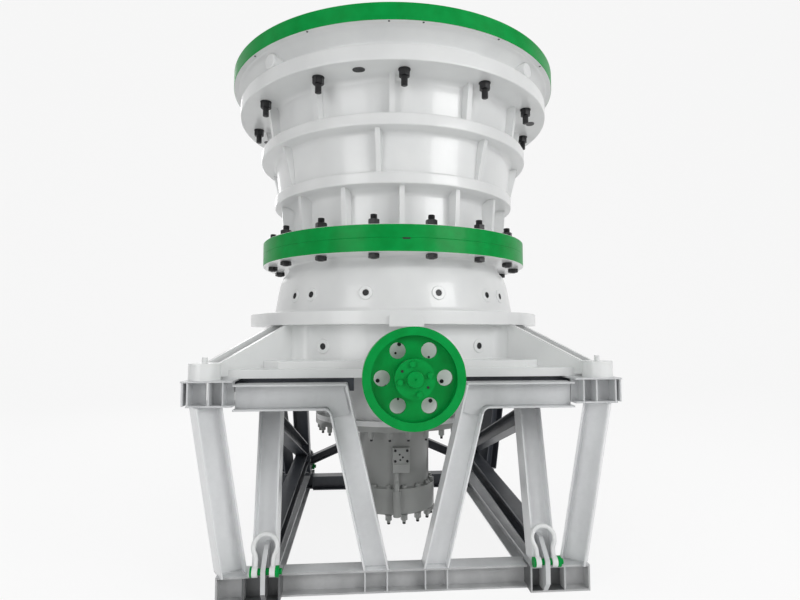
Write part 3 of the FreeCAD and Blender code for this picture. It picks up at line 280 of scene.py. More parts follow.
# %% Round the corners of a profile
def rounded(corners, steps=4):
    """Corners are (radius, level, round). Each becomes a curve that starts and ends round away."""
    path = []
    for i, (x, z, size) in enumerate(corners):
        here = Vector((x, z))
        ends = []
        for other in (corners[i - 1], corners[(i + 1) % len(corners)]):
            way = Vector(other[:2]) - here
            ends.append(here + way.normalized() * min(size, way.length * 0.45))
        if size <= 0:
            path.append(here)
            continue
        for step in range(steps + 1):
            t = step / steps
            path.append(ends[0] * (1 - t) ** 2 + here * 2 * t * (1 - t) + ends[1] * t ** 2)
    return path

# %% Spin a profile about the upright axis
def spin(made, path, finish_of, turns=240):
    """Add the ring to made. finish_of gives a face's material number from its radius and level."""
    rows = []
    for k in range(turns):
        angle = 2 * math.pi * k / turns
        rows.append([made.verts.new((p.x * math.sin(angle), -p.x * math.cos(angle), p.y)) for p in path])
    for k in range(turns):
        here, there = rows[k], rows[(k + 1) % turns]
        for i in range(len(path)):
            j = (i + 1) % len(path)
            face = made.faces.new((here[i], there[i], there[j], here[j]))
            middle = (path[i] + path[j]) / 2
            face.material_index = finish_of(middle.x, middle.y)


def spin_rod(made, path, turns):
    """A solid turned piece: the path starts and ends on the axis."""
    low = made.verts.new((0, 0, path[0][1]))
    high = made.verts.new((0, 0, path[-1][1]))
    rows = []
    for k in range(turns):
        angle = 2 * math.pi * k / turns
        rows.append([made.verts.new((r * math.cos(angle), r * math.sin(angle), z)) for r, z in path[1:-1]])
    for k in range(turns):
        here, there = rows[k], rows[(k + 1) % turns]
        made.faces.new((low, there[0], here[0]))
        made.faces.new((high, here[-1], there[-1]))
        for i in range(len(here) - 1):
            made.faces.new((here[i], there[i], there[i + 1], here[i + 1]))


def skin(made, rings):
    """Join rings of as many points each into a closed solid, with a flat face at both ends."""
    for low, high in zip(rings, rings[1:]):
        for i in range(len(low)):
            j = (i + 1) % len(low)
            made.faces.new((low[i], low[j], high[j], high[i]))
    made.faces.new(list(reversed(rings[0])))
    made.faces.new(rings[-1])

# %% Move and turn what was just added
def added(made, build, matrix):
    """Run build on made, then move only the new points."""
    before = len(made.verts)
    build(made)
    made.verts.ensure_lookup_table()
    bmesh.ops.transform(made, matrix=matrix, verts=made.verts[before:])


def second_finish(made, first):
    """Paint the faces from number first to the last one in the piece's second finish."""
    made.faces.ensure_lookup_table()
    for face in made.faces[first:]:
        face.material_index = 1


def outwards(angle, radius, level=0.0):
    """A frame on the shell: x points sideways, z outwards. Angles count from the front towards +X."""
    a = math.radians(angle)
    out = Vector((math.sin(a), -math.cos(a), 0))
    side = Vector((math.cos(a), math.sin(a), 0))
    up = out.cross(side)
    turn = Matrix((side, up, out)).transposed().to_4x4()
    return Matrix.Translation(out * radius + Vector((0, 0, level))) @ turn


def upright(angle, radius, level):
    """A frame that stands up at a place on a circle, turned to face outwards."""
    a = math.radians(angle)
    spot = Vector((radius * math.sin(a), -radius * math.cos(a), level))
    return Matrix.Translation(spot) @ Matrix.Rotation(a, 4, "Z")

# %% Make a piece of a bmesh
BODY = "crusher_and_stand"
stood_for = set()


def piece(name, made, materials, slot, body=BODY, stands_for=(), bevel=0.0):
    """Turn the bmesh into an object with its finish, riding on its body."""
    mesh = bpy.data.meshes.new(name)
    bmesh.ops.recalc_face_normals(made, faces=made.faces)
    made.to_mesh(mesh)
    made.free()
    thing = bpy.data.objects.new(name, mesh)
    bpy.context.scene.collection.objects.link(thing)
    for material in materials:
        mesh.materials.append(material)
    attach(thing, body)
    if stands_for:
        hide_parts(*stands_for)
        stood_for.update(stands_for)
    round_edges(thing, bevel)
    return thing


def round_edges(thing, bevel, sharp=35):
    """Smooth shading with flat faces kept flat, and edges over sharp degrees rounded by bevel metres."""
    soften(thing, sharp)
    if bevel:
        cut = thing.modifiers.new("edges", "BEVEL")
        cut.width = bevel
        cut.segments = 2
        cut.limit_method = "ANGLE"
        cut.angle_limit = math.radians(sharp)
    flat = thing.modifiers.new("flat faces", "WEIGHTED_NORMAL")
    flat.keep_sharp = True


def box_into(made, low, high):
    """An axis-aligned block between two corners."""
    made_box = bmesh.ops.create_cube(made, size=1.0)
    size = Vector(high) - Vector(low)
    middle = (Vector(high) + Vector(low)) / 2
    bmesh.ops.transform(made, matrix=Matrix.Translation(middle) @ Matrix.Diagonal((*size, 1)),
                        verts=made_box["verts"])


def plate_into(made, outline, thickness, matrix):
    """An upright plate. The outline is (out, up) corners, and its thickness runs sideways."""
    half = thickness / 2
    skin(made, [[made.verts.new(matrix @ Vector((x, up, out))) for out, up in outline]
                for x in (-half, half)])


def flat_plate(made, outline, y, thickness):
    """A plate in a plane across the machine, its outline as (x, z) corners."""
    skin(made, [[made.verts.new((x, place, z)) for x, z in outline] for place in (y, y + thickness)])

print("tools ready")

# %% [markdown]
# ## Spider
# The top ring carries the feed hopper. Its broad rim is painted green, and under it the casting curves
# in to a neck and out again to the joint flange. Four round stubs stand out of the neck for
# lifting. The CAD ring is right in size, so the mesh takes its levels and only rounds what a moulder
# would round.

# %% Levels and radii of the castings, in metres
SPLIT = 2.860
FLANGE = 0.120
FLANGE_R = 1.400
RIM_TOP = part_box("spider_ring")[1][2]
RIM_UNDER = RIM_TOP - 0.150
JOINT_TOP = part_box("spider_ring")[0][2]
RING_TWO, RING_THREE, RING_FOUR = 4.293, 3.835, 3.365
RIM_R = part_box("spider_ring")[1][0]
print("rim", RIM_UNDER, RIM_TOP, RIM_R)

# %% Spider ring with its stubs
def stub(made):
    """A short round stub with a domed end, standing along z from inside the neck."""
    spin_rod(made, [(0, 0), (0.085, 0), (0.076, 0.035), (0.075, 0.10), (0.073, 0.115), (0.064, 0.124),
                    (0, 0.127)], 40)


def spider_ring():
    made = bmesh.new()
    bore, neck, stub_level = RIM_R - 0.270, RIM_R - 0.190, 4.509
    profile = [(bore, JOINT_TOP, 0.01), (neck + 0.070, JOINT_TOP, 0.012),
               (neck + 0.055, JOINT_TOP + 0.028, 0.02), (neck, JOINT_TOP + 0.060, 0.045),
               (neck - 0.004, RIM_UNDER - 0.075, 0.06), (neck + 0.085, RIM_UNDER - 0.012, 0.05),
               (RIM_R - 0.060, RIM_UNDER - 0.004, 0.01), (RIM_R - 0.052, RIM_UNDER, 0.006),
               (RIM_R, RIM_UNDER, 0.006), (RIM_R, RIM_TOP, 0.006), (bore, RIM_TOP, 0.008)]
    spin(made, rounded(profile), lambda r, z: 1 if r > RIM_R - 0.0045 and RIM_UNDER < z < RIM_TOP else 0)
    for angle in (-133, -47, 47, 133):
        added(made, stub, outwards(angle, neck - 0.017, stub_level))
    return piece("spider_rim_casting", made, [casting_white, signal_green], "casting_white",
                 stands_for=["spider_ring"])


spider_rim_casting = spider_ring()
print("spider ring has", len(spider_rim_casting.data.polygons), "faces")

# %% [markdown]
# ## Upper shell
# Three rings and the joint flange stiffen the flaring shell, and cast ribs stand between them. On the
# photograph the ribs don't line up from one tier to the next: fourteen at the neck, eight in the
# middle and twelve under the top flange. They are added to the same mesh as the shell and reach a
# little way into its wall and rings, so that no gap shows between a rib and the casting behind it.

# %% Upper shell and its ribs
def upper_shell():
    made = bmesh.new()
    neck, wall, sunk = 1.090, 0.070, 0.01
    two_r, three_r, four_r = 1.650, 1.430, 1.285
    two_top, three_top, four_top = RING_TWO + 0.135, RING_THREE + 0.110, RING_FOUR + 0.105
    profile = [(neck - wall, SPLIT, 0.004), (FLANGE_R, SPLIT, 0.004), (FLANGE_R, SPLIT + FLANGE, 0.006),
               (neck, SPLIT + FLANGE, 0.035), (neck, RING_FOUR - 0.040, 0.03),
               (neck + 0.060, RING_FOUR, 0.03), (four_r, RING_FOUR, 0.014), (four_r, four_top, 0.014),
               (1.235, four_top, 0.022), (1.280, RING_THREE, 0.035), (three_r, RING_THREE, 0.016),
               (three_r, three_top, 0.016), (1.300, three_top, 0.035), (1.330, RING_TWO, 0.045),
               (two_r, RING_TWO, 0.014), (two_r, two_top, 0.010), (1.260, two_top, 0.01),
               (1.230, RING_THREE, 0.02), (1.165, four_top, 0.02), (neck - wall, RING_FOUR - 0.040, 0.02)]
    spin(made, rounded(profile),
         lambda r, z: 1 if r > FLANGE_R - 0.0035 and z < SPLIT + FLANGE - 0.003 else 0)
    # Each tier has its count of ribs, the first one's angle, their thickness and their (out, up) outline.
    tiers = [
        (14, 0.0, 0.045, [(neck - 0.03, SPLIT + FLANGE - sunk), (neck + 0.100, SPLIT + FLANGE - sunk),
                          (neck + 0.130, RING_FOUR + sunk), (neck - 0.03, RING_FOUR + sunk)]),
        (8, -9.5, 0.045, [(1.215, four_top - sunk), (1.270, four_top - sunk),
                          (1.370, RING_THREE + sunk), (1.245, RING_THREE + sunk)]),
        (12, -4.0, 0.050, [(1.275, three_top - sunk), (1.370, three_top - sunk),
                           (1.420, RING_TWO + sunk), (1.300, RING_TWO + sunk)]),
    ]
    for count, first, thick, outline in tiers:
        for k in range(count):
            plate_into(made, outline, thick, outwards(first + 360 * k / count, 0))
    return piece("upper_shell_casting", made, [casting_white, signal_green], "casting_white",
                 stands_for=["top_shell"])


upper_shell_casting = upper_shell()
print("upper shell has", len(upper_shell_casting.data.polygons), "faces")

# %% [markdown]
# ## Bell
# Below the joint the lower shell spreads like a bell down to the base ring. Six bosses with a tapped
# hole stand on its front and two more on the drum below. The photograph shows them in pairs, so the same
# angles repeat at the back. A boss is a little turned piece: a disc with a rounded edge and a hole whose
# inside is painted dark, as painted shade.

# %% Lower shell
def lower_shell():
    made = bmesh.new()
    foot, top, wall = 1.275, 1.130, 0.070
    low, high = 2.120, SPLIT
    ring_r, ring_top = 1.515, low + 0.117
    profile = [(foot - wall, low, 0.005), (ring_r, low, 0.008), (ring_r, ring_top, 0.010),
               (foot, ring_top, 0.045), (foot - 0.060, high - 0.260, 0.20),
               (top, high - FLANGE - 0.050, 0.06), (top, high - FLANGE, 0.02),
               (FLANGE_R, high - FLANGE, 0.006), (FLANGE_R, high, 0.004), (top - wall, high, 0.005),
               (top - wall, high - FLANGE - 0.070, 0.03), (foot - 0.060 - wall, high - 0.280, 0.05)]
    spin(made, rounded(profile, 6),
         lambda r, z: 1 if r > FLANGE_R - 0.0035 and z > high - FLANGE + 0.003 else 0)
    return piece("bell_casting", made, [casting_white, signal_green], "casting_white",
                 stands_for=["joint_collar", "bottom_shell", "base_ring"])


bell_casting = lower_shell()
print("bell has", len(bell_casting.data.polygons), "faces")

# %% Bosses and their holes
DRUM_R = 1.330


def boss(made):
    """A disc with a hole whose inside is painted black as shade, standing along z from inside the wall."""
    radius, hole, proud = 0.064, 0.029, 0.012
    first = len(made.faces)
    spin_rod(made, [(0, -0.05), (radius, -0.05), (radius, proud - 0.006), (radius - 0.006, proud),
                    (hole + 0.004, proud), (hole, proud - 0.004), (hole, 0.002), (0, 0.002)], 40)
    # The faces inside the hole are painted black, as painted shade.
    made.faces.ensure_lookup_table()
    for face in made.faces[first:]:
        middle = face.calc_center_median()
        if math.hypot(middle.x, middle.y) < hole * 1.02 and middle.z > -0.01:
            face.material_index = 1


def bosses():
    made = bmesh.new()
    bell_r, bell_level, drum_level = 1.2475, 2.402, 1.932
    bell_slope = Matrix.Rotation(math.radians(-9.4), 4, "X")
    for angle in (14.9, 40.7, 51.8):
        for turned in (angle, -angle, 180 - angle, 180 + angle):
            added(made, boss, outwards(turned, bell_r, bell_level) @ bell_slope)
    for turned in (31.4, -31.4, 148.6, 211.4):
        added(made, boss, outwards(turned, DRUM_R, drum_level))
    return piece("bell_bosses", made, [casting_white, black_bolts], "casting_white")


bell_bosses = bosses()
print("bosses made")

# %% Coved corners beside the gussets, and the pad above the wheel
def cove_into(made, angle, offset, hand, low, high):
    """A hollow fillet between a gusset's face and the drum. hand says which way the cove opens."""
    size, steps = 0.120, 12
    centre_x, far = offset + size, DRUM_R + size
    centre_z = math.sqrt(far ** 2 - centre_x ** 2)
    last = math.atan2(centre_z, centre_x)
    in_the_wall = DRUM_R * math.sin(last) - 0.02
    outline = [(offset - 0.012, in_the_wall)]
    for step in range(steps + 1):
        a = math.pi + last * step / steps
        outline.append((centre_x + size * math.cos(a), centre_z + size * math.sin(a)))
    outline.append((centre_x * 0.9, in_the_wall))
    spots = [outwards(angle, 0) @ Vector((hand * x, 0, z)) for x, z in outline]
    skin(made, [[made.verts.new((p.x, p.y, level)) for p in spots] for level in (low, high)])


def base_dressing():
    made = bmesh.new()
    low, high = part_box("base_frame")[0][2] + 0.120, 2.125
    for angle, side in ((-45, 1), (225, -1), (45, -1), (135, 1)):
        cove_into(made, angle, 0.055, side, low, high)
        cove_into(made, angle, 0.175, -side, low, high)
    left, right, under, top = -0.135, 0.153, 2.100, 2.194
    pad = rounded([(left, under, 0.004), (right, under, 0.004), (right, top, 0.040), (left, top, 0.010)])
    flat_plate(made, [(p.x, p.y) for p in pad], -1.531, 0.051)
    return piece("base_dressing", made, [casting_white], "casting_white", bevel=0.004)


base_dressing_casting = base_dressing()
print("base dressing has", len(base_dressing_casting.data.polygons), "faces")

# %% [markdown]
# ## Bolts
# The joints are held by black high-tensile studs and nuts. A nut that is only a six-sided prism looks
# like a toy: the real one has its corners turned off at both faces, so its outline there is a circle.
# The nut below is built from rings of points whose radius follows the hexagon, and the chamfer's
# depth follows how far the corner stands beyond the flats. The stud is turned, with a thread.

# %% A nut and a threaded stud
def nut_into(made, flats, height, level=0.0, turns=36):
    """A chamfered nut. flats is half the width across its flats."""
    rings = [[], [], [], []]
    for k in range(turns):
        angle = 2 * math.pi * k / turns
        fold = (angle + math.pi / 6) % (math.pi / 3) - math.pi / 6
        corner, face = flats / math.cos(fold), flats * 0.97
        drop = (corner - face) * 0.6
        for ring, radius, z in zip(rings, (face, corner, corner, face), (0, drop, height - drop, height)):
            ring.append(made.verts.new((radius * math.cos(angle), radius * math.sin(angle), level + z)))
    skin(made, rings)


def stud_into(made, radius, low, high):
    """A stud with a thread between two levels and a chamfer at each end."""
    chamfer, pitch = 0.003, 0.006
    path = [(0, low), (radius * 0.8, low), (radius * 0.97, low + chamfer)]
    for k in range(max(1, int((high - low - 2 * chamfer) / pitch))):
        z = low + chamfer + k * pitch
        path += [(radius, z + pitch * 0.2), (radius * 0.93, z + pitch * 0.7)]
    path += [(radius * 0.97, high - chamfer), (radius * 0.8, high), (0, high)]
    spin_rod(made, path, 20)


def washer_into(made, radius, thick, level=0.0):
    edge, top = 0.002, level + thick
    spin_rod(made, [(0, level), (radius - edge, level), (radius, level + edge), (radius, top - edge),
                    (radius - edge, top), (0, top)], 40)


def bolt_circle(made, fixing, count, first, radius, level, twist):
    """The same fixing count times round the upright axis, each one turned a little further on its own."""
    for k in range(count):
        turned = Matrix.Rotation(twist * k, 4, "Z")
        added(made, fixing, upright(first + 360 * k / count, radius, level) @ turned)

print("bolt makers ready")

# %% Studs under the top joint
def hanging_bolt(made):
    """A washer, a nut and the stud's long end, all under the flange."""
    washer, nut, tail = 0.008, 0.058, 0.145
    washer_into(made, 0.054, washer, -washer)
    nut_into(made, 0.045, nut, -washer - nut)
    stud_into(made, 0.029, -tail, -0.060)


def top_joint():
    made = bmesh.new()
    bolt_circle(made, hanging_bolt, 12, 0, 1.485, RING_TWO, 0.4)
    return piece("top_joint_nuts", made, [black_bolts], "black_bolts", stands_for=["top_joint_studs"])


top_joint_nuts = top_joint()
print("top joint bolts made")

# %% Studs through the main joint
def joint_bolt(made):
    """A washer, a nut and the stud's end above the flanges, and a nut with a short end below them."""
    over, under, flats, washer = FLANGE, -FLANGE, 0.046, 0.006
    washer_into(made, 0.056, washer, over)
    nut_into(made, flats, 0.054, over + washer)
    stud_into(made, 0.031, over + 0.055, over + 0.104)
    nut_into(made, flats, 0.040, under - 0.042)
    stud_into(made, 0.030, under - 0.048, under - 0.038)


def main_joint():
    made = bmesh.new()
    bolt_circle(made, joint_bolt, 16, 11.25, 1.300, SPLIT, 0.3)
    return piece("main_joint_nuts", made, [black_bolts], "black_bolts", stands_for=["shell_joint_bolts"])


main_joint_nuts = main_joint()
print("joint bolts made")

# %% [markdown]
# ## Dark slots, vents and small holes
# Little dark openings break up the white: jacking slots where two flanges meet, drain holes under
# the top flange, and small tapped holes under the rim. At this size each is a thin dark
# pad with rounded edges that lies in the surface: painted shade in place of the opening.

# %% Slots and small holes
def slot_into(made, width, height):
    """A slot of painted shade with rounded ends, facing along z."""
    half_depth, steps = 0.003, 8
    end, straight = height / 2, (width - height) / 2
    rim = []
    for side in (1, -1):
        for k in range(steps + 1):
            a = math.radians(-90 + 180 * k / steps)
            rim.append((side * (straight + end * math.cos(a)), side * end * math.sin(a)))
    skin(made, [[made.verts.new((x, y, z)) for x, y in rim] for z in (half_depth, -half_depth)])


def slots():
    made = bmesh.new()
    added(made, lambda m: slot_into(m, 0.070, 0.014), outwards(0.9, FLANGE_R, SPLIT - 0.006))
    added(made, lambda m: slot_into(m, 0.090, 0.016), outwards(-3.4, 1.605, JOINT_TOP + 0.008))
    facing_down = Matrix.Rotation(math.radians(90), 4, "X")
    for angle in (-15, 75, 165, 255):
        added(made, lambda m: slot_into(m, 0.110, 0.085), outwards(angle, 1.500, RING_TWO) @ facing_down)
    for angle in (-52, -29, -4.8, 4.8, 29, 52):
        for turned in (angle, 180 + angle):
            added(made, lambda m: slot_into(m, 0.018, 0.018),
                  outwards(turned, RIM_R - 0.022, RIM_UNDER) @ facing_down)
    return piece("slots_and_holes", made, [black_bolts], "black_bolts")


slots_and_holes = slots()
print("slots made")

# %% [markdown]
# ## Hub, cylinder and oil line
# Under the base hangs the hub with its bolted flange, and under that the cylinder that lifts the
# shaft. They are painted like the rest, but their studs are left with bare dark tips. All of it sits in
# the machine's shade, which is painted into their white as a darker grey. A ring of bolts is the same
# nut and stud as before, repeated on another circle.

# %% Bolts under the hub flange and round the cylinder cover
def painted_bolt(made, flats, nut, tail):
    """A painted nut on a stud that hangs down. The stud's tip is bare."""
    washer_into(made, flats * 1.25, 0.006, -0.006)
    nut_into(made, flats, nut, -0.006 - nut)
    stud_into(made, flats * 0.60, -tail + 0.018, -nut)
    first = len(made.faces)
    stud_into(made, flats * 0.55, -tail, -tail + 0.020)
    second_finish(made, first)


def cover_screw(made):
    """The head of a cover screw seen from above."""
    washer_into(made, 0.030, 0.005)
    nut_into(made, 0.024, 0.026, 0.005)


def hub_and_cover_bolts():
    made = bmesh.new()
    hub_under, cover_under, cover_top = 1.120, 0.233, 0.488
    bolt_circle(made, lambda m: painted_bolt(m, 0.024, 0.054, 0.092), 28, 6.43, 0.790, hub_under, 0.5)
    bolt_circle(made, lambda m: painted_bolt(m, 0.031, 0.050, 0.095), 16, 11.25, 0.398, cover_under, 0.7)
    bolt_circle(made, cover_screw, 16, 11.25, 0.402, cover_top, 0.7)
    # The painted nuts and studs take the darker white, as painted shade.
    return piece("hub_bolts", made, [casting_painted_shade, black_bolts], "casting_white")


hub_bolts = hub_and_cover_bolts()
print("hub bolts made")

# %% Valve block and its screws
FORWARD = Matrix.Rotation(math.radians(90), 4, "X")


def socket_screw(made):
    """A cylinder-head screw with a round socket."""
    spin_rod(made, [(0, -0.004), (0.013, -0.004), (0.013, 0.010), (0.012, 0.012), (0.0065, 0.012),
                    (0.006, 0.006), (0, 0.006)], 24)


def valve_block():
    """The block with its four screws above, and a lip below that the oil line comes up into."""
    made = bmesh.new()
    low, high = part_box("manifold_block")
    left, right, lip_under = -0.040, 0.132, 0.656
    box_into(made, (left, low[1], low[2] + 0.016), (right, high[1], high[2]))
    box_into(made, (left, low[1] - 0.012, lip_under), (right, high[1], low[2] + 0.022))
    first = len(made.faces)
    for x in (left + 0.026, right - 0.026):
        for z in (low[2] + 0.050, high[2] - 0.026):
            added(made, socket_screw, Matrix.Translation((x, low[1], z)) @ FORWARD)
    plugs = ((0.030, 0.835), (0.062, 0.808), (0.036, 0.782))
    for x, z in plugs:
        added(made, lambda m: washer_into(m, 0.010, 0.002), Matrix.Translation((x, low[1], z)) @ FORWARD)
    second_finish(made, first)
    # The block takes the darker white, as painted shade.
    return piece("valve_block", made, [casting_painted_shade, black_bolts], "casting_white",
                 stands_for=["manifold_block"], bevel=0.002)


valve_block_casting = valve_block()
print("valve block made")

# %% [markdown]
# ## Drive wheel
# The wheel is a green casting: a broad rim, a thin web with six holes and a hub disc that clamps it to
# the shaft. The CAD node has all of that, so it keeps its mesh. Four cap screws and two jacking
# holes are added in front of the hub disc, and they ride on the drive shaft's body. The shaft is turned
# again with a chamfer and a centre hole, and the end that stands out of the hub is painted green.

# %% Fixings on the wheel's hub
WHEEL_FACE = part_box("wheel_hub")[0][1]
SHAFT_LEVEL = 1.730
TOWARD = Matrix.Translation((0, WHEEL_FACE, SHAFT_LEVEL)) @ FORWARD


def on_wheel(angle, radius, depth=0.0):
    """A place in front of the wheel's hub, angles counted from +X upwards."""
    a = math.radians(angle)
    return TOWARD @ Matrix.Translation((radius * math.cos(a), radius * math.sin(a), depth))


def cap_screw(made):
    washer_into(made, 0.024, 0.004)
    nut_into(made, 0.018, 0.020, 0.004)


def hub_screws():
    made = bmesh.new()
    for angle in (15, 100, 190, 285):
        added(made, cap_screw, on_wheel(angle, 0.105))
    # The two jacking holes are thin black discs, painted shade in place of the holes.
    first = len(made.faces)
    for angle in (148, 328):
        added(made, lambda m: washer_into(m, 0.0095, 0.0012), on_wheel(angle, 0.104))
    second_finish(made, first)
    return piece("wheel_fixings", made, [signal_green, black_bolts], "signal_green", body="drive_shaft")


wheel_fixings = hub_screws()
print("hub screws made")

# %% Drive shaft and the screws on its housing
def drive_shaft():
    made = bmesh.new()
    journal, seat, centre_hole = 0.0698, 0.0568, 0.0090
    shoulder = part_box("wheel_hub")[1][1]
    inner_end, step = WHEEL_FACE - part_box("countershaft")[1][1], WHEEL_FACE - shoulder
    nose = WHEEL_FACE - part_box("countershaft")[0][1]
    path = [(0, inner_end), (journal, inner_end), (journal, step), (seat, step), (seat, nose - 0.005),
            (0.0550, nose - 0.0015), (0.0510, nose), (centre_hole, nose), (0.0035, nose - 0.007),
            (0, nose - 0.007)]
    added(made, lambda m: spin_rod(m, path, 64), TOWARD)
    for face in made.faces:
        if face.calc_center_median().y < shoulder - 0.002:
            face.material_index = 1
    return piece("drive_shaft_steel", made, [bare_steel, signal_green], "bare_steel", body="drive_shaft",
                 stands_for=["countershaft"])


def housing_screws():
    """Nine cover screws on an outer circle of the housing's face, and nine small ones inside it."""
    made = bmesh.new()
    depth = WHEEL_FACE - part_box("countershaft_housing")[0][1]
    for k in range(9):
        added(made, lambda m: washer_into(m, 0.015, 0.006), on_wheel(69 + 40 * k, 0.245, depth))
        added(made, lambda m: washer_into(m, 0.009, 0.003), on_wheel(3 + 40 * k, 0.197, depth))
    return piece("housing_screws", made, [black_bolts], "black_bolts")


drive_shaft_steel = drive_shaft()
housing_screws_steel = housing_screws()
print("wheel fixings and shaft made")

# %% [markdown]
# ## Stand
# The front of the stand is two bent frames. In each, the flange of the top beam turns the corner and
# runs on down the inner leg without a seam, so a frame is built as two long flange strips with a web
# between them. The corner legs lean outwards along a diagonal, and their rolled section is turned to
# follow that lean, which is why the photograph shows both a flange face and the web of each leg.

# %% A rolled section with rounded roots
# How thick a section's web is, and its flanges and the plates welded to it, in metres.
WEB, STEEL = 0.010, 0.014


def section_outline(depth, width):
    """An H section as (across, along) corners, with a fillet where web and flange meet."""
    far, near, side, edge, root = depth / 2, depth / 2 - STEEL, width / 2, 0.002, 0.012
    quarter = [(far, side, edge), (near, side, edge), (near, WEB / 2, root)]
    upper = quarter + [(-x, y, size) for x, y, size in reversed(quarter)]
    lower = [(-x, -y, size) for x, y, size in upper]
    return rounded(upper + lower, 3)


def upright_into(made, start, end, depth, width, turned):
    """A leaning upright whose two ends are cut level."""
    c, s = math.cos(turned), math.sin(turned)
    rings = []
    for x, y, z in (start, end):
        rings.append([made.verts.new((x + p.x * c - p.y * s, y + p.x * s + p.y * c, z))
                      for p in section_outline(depth, width)])
    skin(made, rings)


BEHIND = 0.6


def darken_back(thing):
    """Everything behind the crusher is painted near-black, as painted shade."""
    thing.data.materials.append(stand_painted_back_shade)
    for face in thing.data.polygons:
        if face.center.y > BEHIND:
            face.material_index = 1

# %% Corner legs and side posts
BLOCK_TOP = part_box("corner_legs")[0][2]
PAD_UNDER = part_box("corner_legs")[1][2]
BEAM_UNDER, BEAM_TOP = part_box("back_top_beam")[0][2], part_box("back_top_beam")[1][2]
RAIL_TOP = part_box("front_bottom_rail")[1][2]
CORNERS = [(-1, -1), (-1, 1), (1, -1), (1, 1)]
# The foot and the head of an upright, as they are in the corner where x and y are positive.
LEG = ((1.370, 1.531, BLOCK_TOP), (1.555, 1.640, PAD_UNDER))
POST = ((1.105, 1.500, BLOCK_TOP), (1.135, 1.080, BEAM_UNDER))
LEG_LEAN = math.atan2(LEG[1][1] - LEG[0][1], LEG[1][0] - LEG[0][0])
BACK_REACH = 1.600


def at_corner(x, y, end):
    """An upright's end in one corner. No head at the back stands further out than the pads allow."""
    reach = end[1] if y < 0 else min(end[1], BACK_REACH)
    return (x * end[0], y * reach, end[2])


def uprights(name, node, ends, depth, width, lean):
    """Four leaning uprights, one in each corner."""
    made = bmesh.new()
    for x, y in CORNERS:
        foot, head = [at_corner(x, y, end) for end in ends]
        upright_into(made, foot, head, depth, width, x * y * lean)
    # The uprights take the lighter grey as painted light, and those behind the crusher get painted shade.
    steel = piece(name, made, [stand_painted_light], "stand_white", stands_for=[node])
    darken_back(steel)
    return steel


corner_legs_steel = uprights("corner_legs_steel", "corner_legs", LEG, 0.2, 0.2, LEG_LEAN)
side_posts_steel = uprights("side_posts_steel", "side_posts", POST, 0.185, 0.2, 0.0)
print("legs", len(corner_legs_steel.data.polygons), "posts", len(side_posts_steel.data.polygons))

# %% The two bent frames at the front
RAIL_LINE, BEAM_LINE = 1.453, 1.610


def up_the_leg(z):
    """0 at the foot of an inner leg, 1 at its head and along the beam."""
    return max(0.0, min(1.0, (z - RAIL_TOP) / (BEAM_UNDER - RAIL_TOP)))


def band_into(made, first, second, half):
    """A band between two (x, z) lines of as many points, half a thickness either side of the frame.

    The leg leans back towards its foot, from the beam's line to the rail's."""
    rings = []
    for p, q in zip(first, second):
        rings.append([made.verts.new((spot.x, side * half(spot.y) - RAIL_LINE
                                      - (BEAM_LINE - RAIL_LINE) * up_the_leg(spot.y), spot.y))
                      for spot, side in ((p, -1), (q, -1), (q, 1), (p, 1))])
    skin(made, rings)


def front_frame(made, side):
    """Two flange bands and the web between them, from the beam's end round the knee to the rail."""
    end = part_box("front_top_beams")[1][0]
    # Each line has its level along the beam, how far out its knee and its foot are, and its bend's size.
    outer, under = (BEAM_TOP, 0.472, 0.140, 0.012), (BEAM_TOP - STEEL, 0.4832, 0.1544, 0.010)
    above, inner = (BEAM_UNDER + STEEL, 0.5987, 0.3257, 0.060), (BEAM_UNDER, 0.6100, 0.3400, 0.045)
    lines = []
    for level, knee, foot, size in (outer, under, above, inner):
        path = rounded([(end, level, 0), (knee, level, size), (foot, RAIL_TOP, 0)], 6)
        lines.append([Vector((side * p.x, p.y)) for p in path])

    def half_flange(z):
        return 0.0875 + 0.0125 * up_the_leg(z)

    band_into(made, lines[0], lines[1], half_flange)
    band_into(made, lines[2], lines[3], half_flange)
    band_into(made, lines[1], lines[2], lambda z: WEB / 2)


def front_frames():
    made = bmesh.new()
    for side in (-1, 1):
        front_frame(made, side)
    # Below the knees the legs take the lighter grey, as painted light on faces the front lamps reach.
    knee_under = 1.35
    for face in made.faces:
        if face.calc_center_median().z < knee_under:
            face.material_index = 1
    return piece("front_frames_steel", made, [stand_pale, stand_painted_light], "stand_white",
                 stands_for=["front_top_beams", "front_inner_legs"], bevel=0.0025)


front_frames_steel = front_frames()
print("front frames have", len(front_frames_steel.data.polygons), "faces")

# %% Corner pads under the crusher's feet
def pad_plate(made, x, y, low, high):
    """A block between (x, y) corners measured outwards from the axis, for one corner of the stand."""
    near = (x * low[0], y * low[1], low[2])
    far = (x * high[0], y * high[1], high[2])
    box_into(made, [min(a, b) for a, b in zip(near, far)], [max(a, b) for a, b in zip(near, far)])


def corner_pads():
    made = bmesh.new()
    low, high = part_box("top_corner_pads")
    out, bottom, top = high[0], low[2], high[2]
    inner, web_near, web_far = 1.340, 1.600, 1.612
    under, over = bottom + 0.01, top - 0.01
    for x, y in CORNERS:
        pad_plate(made, x, y, (inner, inner, top - STEEL), (out, out, top))
        pad_plate(made, x, y, (inner, inner, bottom), (out - 0.040, out, bottom + STEEL))
        for place, thick in ((1.409, 0.012), (1.515, STEEL), (1.672, STEEL), (out - STEEL, STEEL)):
            pad_plate(made, x, y, (place - thick / 2, inner + 0.01, under),
                      (place + thick / 2, out - 0.004, over))
        pad_plate(made, x, y, (1.345, web_near, under), (1.515, web_far, over))
        pad_plate(made, x, y, (1.560, web_near, under), (out - 0.02, web_far, over))
    return piece("corner_pads_steel", made, [stand_pale], "stand_white", stands_for=["top_corner_pads"],
                 bevel=0.0025)


